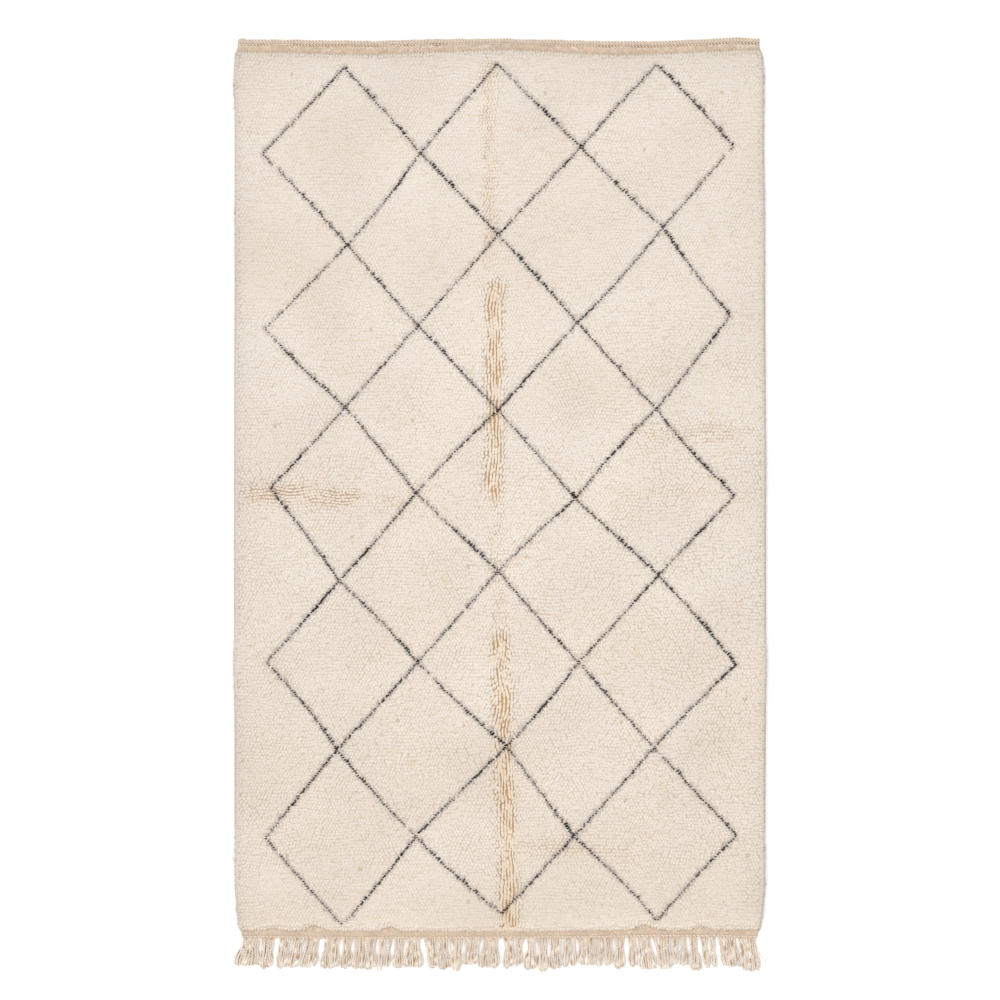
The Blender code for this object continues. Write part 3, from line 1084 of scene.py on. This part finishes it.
def field_knots():
    """The cream knots of the level field."""
    draw = np.random.default_rng(5)
    rows = np.arange(-1215 * MM, 1300 * MM, KNOT_PITCH)
    columns = np.arange(-770 * MM, 770 * MM, KNOT_PITCH)
    row, col = np.indices((len(rows), len(columns))).reshape(2, -1).astype(float)
    count = len(row)
    x = columns[0] + col * KNOT_PITCH
    y = rows[0] + row * KNOT_PITCH

    down = parting_zone(x, y, True)
    across = parting_zone(x, y, False)
    x = x + ROW_SHIFT * KNOT_PITCH * (-1.0) ** row * (1 - down)
    x = x + drift("columns", x, y)
    y = y + drift("rows", x, y)
    x = x + down * drift("lined columns", col * LINE_STEP, y)
    y = y + across * drift("lined rows", x, row * LINE_STEP)
    grain = relief(x, y)
    x = x + draw.normal(0, KNOT_STRAY, count) * grain * (1 - 0.6 * down)
    y = y + draw.normal(0, KNOT_STRAY, count) * grain * (1 - 0.6 * across + down)

    heading = field_heading(x, y, down, draw)
    gap_right = opening("gaps between columns", col, y, down)
    gap_left = opening("gaps between columns", col - 1, y, down)
    gap_below = opening("gaps between rows", row, x, across)
    gap_above = opening("gaps between rows", row + 1, x, across)
    beside = gap_left + gap_right
    before = gap_above + gap_below
    gaps = np.minimum(beside + before, 1)
    width = 1 - GAP_NARROWING * beside - DOWN_NARROWING * down
    width += GAP_WIDENING * np.minimum(before, 1)
    length = 1 - GAP_NARROWING * before - ACROSS_SHORTENING * across
    x = x + GAP_SHIFT * (gap_left - gap_right)
    y = y + GAP_SHIFT * (gap_below - gap_above)

    z = pile_height(x, y) + draw.normal(0, CREST_STRAY, count) * grain
    lined = np.maximum(down, LINED_ACROSS * across)
    deepened = np.maximum(gaps, LINED_DEPTH * lined)
    depth = LOCK_DEPTH * grain
    locks = lock_group(
        count,
        **resting_places(x, y, z, heading),
        **wool_tint(x, y, draw),
        half_length=LOCK_HALF_LENGTH * length * draw.normal(1, SIZE_STRAY, count),
        half_width=LOCK_HALF_WIDTH * width * draw.normal(1, SIZE_STRAY, count),
        depth=depth + (PARTED_DEPTH - depth) * deepened,
        lined=lined,
        # painted shade at the rims, darker with a stronger grain and where gaps open
        least_rise=(1 - GRAIN_PAINTED_SHADE * grain) * (1 - gaps),
        most_rise=1,
    )
    left, right, below, above = edge_distances(x, y)
    inside = np.minimum(left, right) > first_inset(SIDE_ROWS)
    return kept(locks, inside & (below > first_inset(FOOT_ROWS)) & (above > first_inset(TOP_ROWS)))


def border_row(where, outward, row, draw):
    """One row of locks that lean down the pile's side, away from its middle."""
    count = len(where)
    inset, sunk, tilt = row
    where = where + draw.normal(0, BORDER_STRAY, count)
    inset = draw.normal(inset * MM, BORDER_STRAY, count)
    if outward[0]:
        y = where
        x = right_side(y) if outward[0] > 0 else left_side(y)
        least_warmth = 0.0
    else:
        x = where
        y = pile_top(x) if outward[1] > 0 else pile_foot(x)
        least_warmth = np.clip(0.40 - inset / (14 * MM), 0, 1)
    z = pile_height(x, y) + draw.normal(-sunk * MM, CREST_STRAY, count)
    z = np.maximum(z, BORDER_LOWEST)
    x = x - outward[0] * inset
    y = y - outward[1] * inset
    tint = wool_tint(x, y, draw)
    tint["warmth"] = np.maximum(tint["warmth"], least_warmth)
    turn = draw.normal(math.atan2(outward[1], outward[0]), 0.25, count)
    level = np.column_stack([np.cos(turn), np.sin(turn)])
    tilt = np.radians(draw.normal(tilt, 5, count))
    sine = np.sin(tilt)
    cosine = np.cos(tilt)
    half_length = BORDER_HALF_LENGTH * draw.normal(1, 0.10, count)
    headroom = z - 1.2 * BORDER_DEPTH * cosine
    locks = lock_group(
        count,
        **tint,
        crest=np.column_stack([x, y, z]),
        heading=np.column_stack([cosine[:, None] * level, -sine]),
        upright=np.column_stack([sine[:, None] * level, cosine]),
        half_length=np.minimum(half_length, 0.9 * headroom / sine.clip(0.3)),
        half_width=BORDER_HALF_WIDTH * draw.normal(1, 0.08, count),
        depth=BORDER_DEPTH,
        lined=0,
        # painted shade at their rims goes no darker than this
        least_rise=0.35,
        most_rise=1,
    )
    if outward[0]:
        return locks
    return kept(locks, (x > left_side(y) + CORNER_INSET) & (x < right_side(y) - CORNER_INSET))


def border_knots():
    """The cream knots that round the pile off at its two sides and its two ends."""
    draw = np.random.default_rng(6)
    side_places = np.arange(*SIDE_SPAN, 0.85 * KNOT_PITCH)
    end_places = np.arange(*END_SPAN, 0.95 * KNOT_PITCH)
    groups = []
    for row in SIDE_ROWS:
        groups.append(border_row(side_places, (-1, 0), row, draw))
        groups.append(border_row(side_places, (1, 0), row, draw))
    groups += [border_row(end_places, (0, 1), row, draw) for row in TOP_ROWS]
    groups += [border_row(end_places, (0, -1), row, draw) for row in FOOT_ROWS]
    return together(groups)


def nearest_distance(points, others):
    """For each point the distance to the nearest of the others."""
    distance = np.empty(len(points))
    for block in np.array_split(np.arange(len(points)), 60):
        offset = points[block][:, None, :] - others[None]
        distance[block] = np.hypot(offset[..., 0], offset[..., 1]).min(1)
    return distance


def shade_beside(locks, spots, strengths):
    """Cream locks beside the dark knots sink a little and take on some of their tint."""
    draw = np.random.default_rng(71)
    middle = locks["crest"][:, :2] + 0.2 * locks["half_length"][:, None] * locks["heading"][:, :2]
    distance = nearest_distance(middle, spots[strengths > 0.3])
    locks["crest"][:, 2] -= CLEARING_DEPTH * np.clip(1 - distance / CLEARING, 0, 1)
    haze = draw.uniform(0.1, 0.9, len(distance)) * np.clip(1 - distance / HAZE_REACH, 0, 1)
    locks["haze"] = np.maximum(locks["haze"], haze)


def make_pile(wool, dark_wool):
    """The cream field, split by rows into a few objects, and the dark knots in it."""
    spots, strengths = dark_places()
    field = field_knots()
    shade_beside(field, spots, strengths)
    locks = together([field, border_knots()])
    order = np.argsort(locks["crest"][:, 1], kind="stable")
    pieces = []
    for number, part in enumerate(np.array_split(order, PILE_PIECES), 1):
        pieces.append(locks_piece(f"pile_{number}", kept(locks, part), wool))
    dark = locks_piece("lattice_knots", dark_locks(spots, strengths), dark_wool)
    return pieces, dark, make_fibres(spots, dark_wool)


def bed_stations(length):
    """Shares along one side of the bed: even steps, closer together at both ends."""
    rim = np.array(BED_RIM) * MM / length
    middle = steps(rim[-1], 1 - rim[-1], BED_STEP / length)[1:-1]
    return np.concatenate([rim, middle, 1 - rim[::-1]])


def bed_edge(rows):
    """How far inside the edge of the pile the bed ends, behind the lowest row."""
    return rows[-1][0] * MM + BED_INSET


def bed_sunk(distance, rows):
    """How far the bed has sunk at this distance from an edge of the pile."""
    insets, sunk, _ = np.array(rows[::-1]).T * MM
    return np.interp(distance, insets + BED_INSET, sunk)


def make_bed(wool):
    """The wool between the locks: a soft skin below their crests that closes the gaps."""
    share_x, share_y = np.meshgrid(bed_stations(PILE_WIDTH), bed_stations(PILE_LENGTH))

    def along(x):
        foot = pile_foot(x) + bed_edge(FOOT_ROWS)
        top = pile_top(x) - bed_edge(TOP_ROWS)
        return foot + share_y * (top - foot)

    x, y = between_sides(share_x, along, bed_edge(SIDE_ROWS))
    left, right, below, above = edge_distances(x, y)
    at_sides = bed_sunk(np.minimum(left, right), SIDE_ROWS)
    at_ends = np.maximum(bed_sunk(below, FOOT_ROWS), bed_sunk(above, TOP_ROWS))
    lined = np.maximum(parting_zone(x, y, True), parting_zone(x, y, False))
    lined = lined * np.clip(np.minimum(left, right) / (40 * MM), 0, 1)
    z = pile_height(x, y) - BED_DROP * relief(x, y) - (PARTED_DEPTH - LOCK_DEPTH) * lined
    z = np.maximum(z - np.maximum(at_sides, at_ends), BED_FOOT)
    z[:, [0, -1]] = BED_FOOT
    z[[0, -1], :] = BED_FOOT
    # painted shade: the bed between the locks is darker than their crests, ochre where the pile
    # parts
    rise = 0.5 * (1 - np.clip(1.2 * lined, 0, 1))
    tint = wool_tint(x.ravel(), y.ravel(), np.random.default_rng(7))
    points = np.stack([x, y, z], -1).reshape(-1, 3)
    faces = grid_faces(np.arange(x.size).reshape(x.shape))
    return mesh_piece("pile_bed", points, faces, wool, rise=rise, **tint)


# ---- the woven ground

def ground_levels(x):
    """Where each of the ground's rows lies along the rug at each place across."""
    fine_foot = pile_foot(x) + BAND_UNDER_PILE
    fine_top = pile_top(x) - BAND_UNDER_PILE
    band = np.linspace(0.0, 1.0, BAND_ROWS + 1)
    field = np.linspace(0.0, 1.0, FIELD_ROWS + 1)[1:-1]
    levels = []
    for start, end, shares in (
        (band_foot(x), fine_foot, band),
        (fine_foot, fine_top, field),
        (fine_top, band_top(x), band),
    ):
        levels += [start + share * (end - start) for share in shares]
    return np.array(levels)


def ground_places(inset):
    """The grid of the ground's crossings, drawn in from the cloth's edges by the inset."""
    row = np.arange(2 * BAND_ROWS + FIELD_ROWS + 1)
    shares = np.tile(steps(0.0, 1.0, GROUND_COLUMN / PILE_WIDTH), (len(row), 1))
    x, y = between_sides(shares, lambda x: ground_levels(x)[row, row], inset)
    y[0] += inset
    y[-1] -= inset
    return x, y


def make_ground(wool):
    """The woven sheet, closed: weft over and under warp on the bands, a flat underside."""
    draw = np.random.default_rng(91)
    top_x, top_y = ground_places(RIM_INSET)
    foot_x, foot_y = ground_places(0.0)
    shape = top_x.shape
    row, col = np.indices(shape)
    woven = np.ones((shape[0], 1))
    woven[BAND_ROWS + 1:-BAND_ROWS - 1] = 0.0
    over = woven * ((-1.0) ** (row + col) + draw.normal(0, WEAVE_STRAY, shape))
    top_x = top_x + draw.normal(0, WARP_STRAY, shape)
    to_cord = fading(band_top(top_x) - top_y, LIFT_REACH)
    to_foot = fading(np.abs(top_y - pile_foot(top_x)), FOOT_LIGHT_REACH)
    to_top = fading(np.abs(top_y - pile_top(top_x)), TOP_SHADE_REACH)
    top_z = BAND_HEIGHT + WEAVE_DEPTH * (over - 1.0) + BAND_LIFT * to_cord
    points = np.concatenate([
        np.stack([top_x, top_y, top_z], -1).reshape(-1, 3),
        np.stack([foot_x, foot_y, np.zeros(shape)], -1).reshape(-1, 3),
    ])
    upper = np.arange(top_x.size).reshape(shape)
    lower = upper + top_x.size
    faces = [checkered_faces(upper), checkered_faces(lower)[:, ::-1]]
    for high, low in (
        (upper[0], lower[0]),
        (upper[:, -1], lower[:, -1]),
        (upper[-1, ::-1], lower[-1, ::-1]),
        (upper[::-1, 0], lower[::-1, 0]),
    ):
        faces.append(np.stack([low[:-1], low[1:], high[1:]], -1))
        faces.append(np.stack([low[:-1], high[1:], high[:-1]], -1))
    # painted shade: the weave is darker in its dips
    tone = WEAVE_TONE * (1 + over) + BAND_CONTRAST * np.sign(top_y) + drift("band", top_x, top_y)
    # painted light at the cord and at the lower band's pile edge, painted shade at the upper band's
    # pile edge
    tone += CORD_LIGHT * to_cord ** 2 + FOOT_LIGHT * to_foot - TOP_SHADE * to_top
    rise = np.concatenate([tone.ravel(), np.full(top_x.size, UNDERSIDE_TONE)]).clip(0, 1.2)
    return mesh_piece("ground_weave", points, np.concatenate(faces), wool, rise=rise)


# ---- cords and yarns

def tube_frames(path):
    """Along a path: the way to its left on the floor, and up."""
    way = np.gradient(path, axis=0)
    way /= np.linalg.norm(way, axis=1)[:, None]
    left = np.cross((0.0, 0.0, 1.0), way)
    left /= np.linalg.norm(left, axis=1)[:, None]
    return left, np.cross(way, left)


def tube(path, radius):
    """A closed tube round a path: its points, ring by ring and then its two ends, and faces."""
    left, up = tube_frames(path)
    count = len(path)
    turns = math.tau * np.arange(TUBE_SIDES) / TUBE_SIDES
    radius = np.broadcast_to(radius, count)
    ring = left[:, None] * np.cos(turns)[None, :, None] + up[:, None] * np.sin(turns)[None, :, None]
    rings = path[:, None] + radius[:, None, None] * ring
    points = np.concatenate([rings.reshape(-1, 3), path[:1], path[-1:]])
    index = np.arange(count * TUBE_SIDES).reshape(count, TUBE_SIDES)
    following = np.roll(index, -1, axis=1)
    first_end = np.full(TUBE_SIDES, count * TUBE_SIDES)
    faces = np.concatenate([
        np.stack([index[:-1], following[:-1], following[1:]], -1).reshape(-1, 3),
        np.stack([index[:-1], following[1:], index[1:]], -1).reshape(-1, 3),
        np.stack([following[0], index[0], first_end], -1),
        np.stack([index[-1], following[-1], first_end + 1], -1),
    ])
    return points, faces


def plain_tube(path, radius, rise):
    """A tube of one tone: its points, faces and rise."""
    points, faces = tube(path, radius)
    return points, faces, np.full(len(points), rise)


def level_path(x, along, height):
    return np.column_stack([x, along, np.full(len(x), height)])


def outness(points, path, reach):
    """How far out of a yarn's twist each point of a ply lies, from 0 in its grooves to 1."""
    centres = np.concatenate([np.repeat(path, TUBE_SIDES, axis=0), path[:1], path[-1:]])
    away = np.linalg.norm(points - centres, axis=1)
    return np.clip((away / reach - 0.52) / 0.44, 0, 1)


def travelled_along(path):
    lengths = np.linalg.norm(np.diff(path, axis=0), axis=1)
    return np.concatenate([[0.0], np.cumsum(lengths)])


def plied(path, radii, offset, pitch, phase=0.0, handed=1, tones=(1.0, 1.0)):
    """A yarn of two plies twisted round a path: for each ply its points, faces and rise."""
    travelled = travelled_along(path)
    left, up = tube_frames(path)
    parts = []
    for ply, (radius, tone) in enumerate(zip(radii, tones)):
        turn = handed * math.tau * (travelled / pitch + ply / 2) + phase
        strand = path + offset * (np.cos(turn)[:, None] * left + np.sin(turn)[:, None] * up)
        points, faces = tube(strand, radius)
        # painted shade: the rise falls to 0 in the grooves between the plies
        parts.append((points, faces, tone * outness(points, path, offset + radius)))
    return parts


def joined(name, parts, material):
    """Many closed tubes as one object."""
    starts = np.cumsum([0] + [len(points) for points, _, _ in parts])
    return mesh_piece(
        name,
        np.concatenate([points for points, _, _ in parts]),
        np.concatenate([faces + start for (_, faces, _), start in zip(parts, starts)]),
        material,
        rise=np.concatenate([rise for _, _, rise in parts]),
    )


def cord_stations(edge, inset, step):
    """Stations from side to side for a cord that lies along an edge of the cloth."""
    return steps(left_side(edge) + inset, right_side(edge) - inset, step)


def make_heading(yarn):
    """Two rows of twining, wound against each other, along the upper edge."""
    x = cord_stations(TOP_EDGE, 2 * MM, 2.6 * MM)
    nub = NUB_DEPTH * np.exp(-((x - NUB_AT) / NUB_HALF_WIDTH) ** 4)
    middle = band_top(x) + GAP + HEADING_DEPTH / 2
    strands = (HEADING_STRAND, HEADING_STRAND)
    offset = HEADING_HEIGHT / 2 - HEADING_STRAND
    parts = []
    for handed in (-1, 1):
        along = middle + handed * HEADING_DEPTH / 4 + nub * (2 + handed) / 3
        path = level_path(x, along + drift("heading", x), HEADING_HEIGHT / 2)
        parts += plied(path, strands, offset, HEADING_PITCH, handed * math.pi / 4, handed)
    core = level_path(x, middle + nub / 2, HEADING_CORE_HEIGHT)
    parts.append(plain_tube(core, HEADING_CORE + nub / 4, 0.65))
    return joined("heading_braid", parts, yarn)


def make_seam(yarn):
    """The twined seam that ties the cord to the band, one of its strands brownish."""
    x = cord_stations(TOP_EDGE, 4 * MM, 1.8 * MM)
    along = band_top(x) - 0.9 * MM + drift("seam", x)
    path = level_path(x, along, BAND_HEIGHT + 1.5 * MM)
    strands = (SEAM_STRAND, 0.9 * SEAM_STRAND)
    light, brown = plied(path, strands, 0.75 * SEAM_STRAND, SEAM_PITCH)
    points, faces, rise = brown
    faded = np.clip(0.38 + drift("seam colour", points[:, 0]), 0, 1)
    core = level_path(x, along + 1.5 * MM, BAND_HEIGHT)[::2]
    parts = [light, (points, faces, rise * faded), plain_tube(core, SEAM_CORE, 0.7)]
    return joined("heading_stitches", parts, yarn)


def make_closing(yarn):
    """Two strands twined through the warps above the fringe."""
    x = cord_stations(ROOT_LINE, 1 * MM, 1.9 * MM)
    along = band_foot(x) - CLOSING_DEPTH / 2
    path = level_path(x, along, CLOSING_HEIGHT / 2 + 0.8 * MM)
    strands = (CLOSING_STRAND, CLOSING_STRAND)
    parts = plied(path, strands, 0.8 * CLOSING_STRAND, CLOSING_PITCH, tones=(1.0, 0.45))
    core = level_path(x, along + 0.8 * MM, CLOSING_CORE_HEIGHT)
    parts.append(plain_tube(core, CLOSING_CORE, 0.6))
    return joined("closing_twine", parts, yarn)


def pinched(down, outer, root_width):
    """How far a yarn draws in below its root and out again, given how far out it stands."""
    return outer * min(PINCH, PINCH_SHARE * root_width) * np.sin(math.tau * down ** 1.4)


def loop_path(roots, tip, tip_along, levels, sways, outer, root_width, draw):
    """One warp loop: down one leg, round its tip and back up the other."""
    down = np.linspace(0.0, 1.0, 23)
    bend = np.linspace(0.0, math.pi, 7)[1:-1]
    belly = np.sin(math.pi * down)
    legs = []
    for root, side, level, sway in zip(roots, (-1, 1), levels, sways):
        start = comb_root(root) + 1.5 * MM
        x = root + (tip + side * LOOP_RADIUS - root) * down + sway * belly
        x -= pinched(down, outer, root_width)
        wander = draw.normal(0, LEG_SWAY)
        x += wander * belly * np.sin(math.tau * 1.2 * down + draw.uniform(0, math.tau))
        y = start + (tip_along + LOOP_RADIUS - start) * down
        z = YARN_RADIUS + level * belly ** 0.7
        legs.append(np.column_stack([x, y, z]))
    arc_x = tip - LOOP_RADIUS * np.cos(bend)
    arc = level_path(arc_x, tip_along + LOOP_RADIUS * (1 - np.sin(bend)), YARN_RADIUS)
    return np.concatenate([legs[0], arc, legs[1][::-1]])


def bunch_loops(bunch, draw):
    """The warp loops of one bunch, side by side in two layers, their legs often crossed."""
    root_from, root_to, tip_from, tip_to, tip_along = (size * MM for size in bunch)
    root_width = root_to - root_from
    loops = max(1, round(max(root_width, tip_to - tip_from) / LOOP_SPACING))
    inset = LOOP_RADIUS + 0.6 * YARN_RADIUS
    span = tip_to - tip_from - 2 * inset
    paths = []
    for number in range(loops):
        middle = (number + 0.5) / loops
        outer = 2 * middle - 1
        reach = draw.choice(LEG_REACHES) / loops
        roots = root_from + root_width * np.clip((middle - reach, middle + reach), 0.04, 0.96)
        tip = tip_from + inset + span * (number / (loops - 1) if loops > 1 else 0.5)
        tip += TIP_SHIFT * (-1) ** number
        if number % 2 == 0:
            ragged = draw.uniform(-1, 5) * MM
        fall = tip_along + TIP_ROUNDING * outer ** 2 + ragged
        base = LAYER_HEIGHT * (number % 2)
        levels = (base + 1.2 * MM, base + 2.8 * MM)
        sways = draw.normal(0, LEG_SWAY, 2)
        paths.append(loop_path(roots, tip, fall, levels, sways, outer, root_width, draw))
    return paths


def root_shade(points):
    """How much of a yarn's tone is left in the painted shade at its root."""
    return 1 - ROOT_SHADE * fading(ROOT_LINE - CLOSING_DEPTH - points[:, 1], ROOT_SHADE_REACH)


def under_yarns(bunch, draw):
    """The yarns that lie flat under a bunch and close it, darkened and blotched with ochre as
    painted shade.
    """
    root_from, root_to, tip_from, tip_to, tip_along = (size * MM for size in bunch)
    root_width = root_to - root_from
    tip_width = tip_to - tip_from
    count = max(2, round((max(root_width, tip_width) - 2 * UNDER_RADIUS) / UNDER_SPACING))
    down = np.linspace(0.0, 1.0, 14)
    parts = []
    for share in np.linspace(0.0, 1.0, count):
        outer = 2 * share - 1
        root = root_from + UNDER_RADIUS + share * (root_width - 2 * UNDER_RADIUS)
        tip = tip_from + 2 * UNDER_RADIUS + share * (tip_width - 4 * UNDER_RADIUS)
        start = comb_root(root) + 1.0 * MM
        end = tip_along + 5 * MM + TIP_ROUNDING * outer ** 2
        x = root + (tip - root) * down - pinched(down, outer, root_width)
        wander = draw.normal(0, 1.0 * MM)
        x += wander * np.sin(math.tau * down + draw.uniform(0, math.tau))
        path = level_path(x, start + (end - start) * down, UNDER_RADIUS)
        points, faces = tube(path, UNDER_RADIUS)
        # painted shade: a darker tone, blotched with ochre
        tone = np.clip(0.52 + drift("under yarns", points[:, 0], points[:, 1]), 0, 1)
        parts.append((points, faces, tone * root_shade(points)))
    return parts


def stray_yarn():
    """The one yarn that lies apart at the right end, thinner towards its tip."""
    bends = np.array(STRAY) * MM
    travelled = travelled_along(bends)
    at = steps(0.0, travelled[-1], YARN_RADIUS)
    path = np.stack([np.interp(at, travelled, bends[:, axis]) for axis in range(3)], 1)
    return plain_tube(path, np.linspace(1.9, 1.4, len(path)) * MM, 0.8)


def make_fringe(yarn):
    """The warp ends: looped two-ply yarns in leaning bunches, and one stray strand."""
    draw = np.random.default_rng(113)
    plies = (PLY_RADIUS, PLY_RADIUS)
    offset = YARN_RADIUS - PLY_RADIUS
    parts = []
    for bunch in BUNCHES:
        parts += under_yarns(bunch, draw)
        for path in bunch_loops(bunch, draw):
            tone = draw.uniform(0.8, 1.0)
            phase = draw.uniform(0, math.tau)
            for points, faces, rise in plied(path, plies, offset, PLY_PITCH, phase):
                parts.append((points, faces, tone * rise * root_shade(points)))
    parts.append(stray_yarn())
    return joined("fringe_yarns", parts, yarn)


# ---- the room

def make_floor():
    """A wide pale floor."""
    size = FLOOR_HALF_SIZE
    corners = np.array([(-size, -size, 0), (size, -size, 0), (size, size, 0), (-size, size, 0)])
    material, shader = new_material("floor_paint", 0.9, 0.0, specular=0.1)
    shader.inputs["Base Color"].default_value = FLOOR_COLOUR
    floor = mesh_piece("floor", corners, np.array([(0, 1, 2, 3)]), material)


def make_light():
    """An even white surround, and one wide soft lamp high up and to the left."""
    world = bpy.data.worlds.new("surround")
    world.use_nodes = True
    backdrop = world.node_tree.nodes["Background"]
    backdrop.inputs["Color"].default_value = (1.0, 1.0, 1.0, 1.0)
    backdrop.inputs["Strength"].default_value = SURROUND_STRENGTH
    bpy.context.scene.world = world
    lamp = bpy.data.lights.new("soft_lamp", "SUN")
    lamp.angle = LAMP_SPREAD
    lamp.energy = LAMP_STRENGTH
    holder = add_object("soft_lamp", lamp)
    holder.location = LAMP_PLACE
    holder.rotation_euler = (-Vector(LAMP_PLACE)).to_track_quat("-Z", "Y").to_euler()


def make_camera():
    """Straight above the rug, with its length upright in the picture."""
    camera = bpy.data.cameras.new("camera")
    camera.lens = LENS
    camera.sensor_width = SENSOR
    camera.clip_end = 50.0
    holder = add_object("camera", camera)
    holder.location = (0.0, PICTURE_MIDDLE, PICTURE_WIDTH * LENS / SENSOR + PILE_HEIGHT)
    bpy.context.scene.camera = holder


make_camera()
make_light()
make_floor()
bpy.context.scene.view_settings.view_transform = "Standard"

pile_wool = make_pile_wool()
pile_pieces, lattice, fibres = make_pile(pile_wool, make_dark_wool())
bed = make_bed(pile_wool)
ground = make_ground(make_band_wool())
heading = make_heading(make_yarn("heading_wool", HEADING_COLOURS))
seam = make_seam(make_yarn("seam_wool", SEAM_COLOURS))
closing = make_closing(make_yarn("closing_wool", CLOSING_COLOURS))
fringe = make_fringe(make_yarn("fringe_wool", FRINGE_COLOURS))

for piece, node, slot in (
    *((pile, "rug_body", "cream_wool") for pile in pile_pieces),
    (bed, "rug_body", "cream_wool"),
    (ground, "rug_body", "cream_wool"),
    (lattice, "rug_body", "dark_wool"),
    (fibres, "rug_body", "dark_wool"),
    (heading, "heading_cord", "beige_yarn"),
    (seam, "heading_cord", "beige_yarn"),
    (closing, "closing_cord", "tan_yarn"),
    (fringe, "fringe", "oatmeal_yarn"),
):
    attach(piece, "root")
    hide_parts(node)
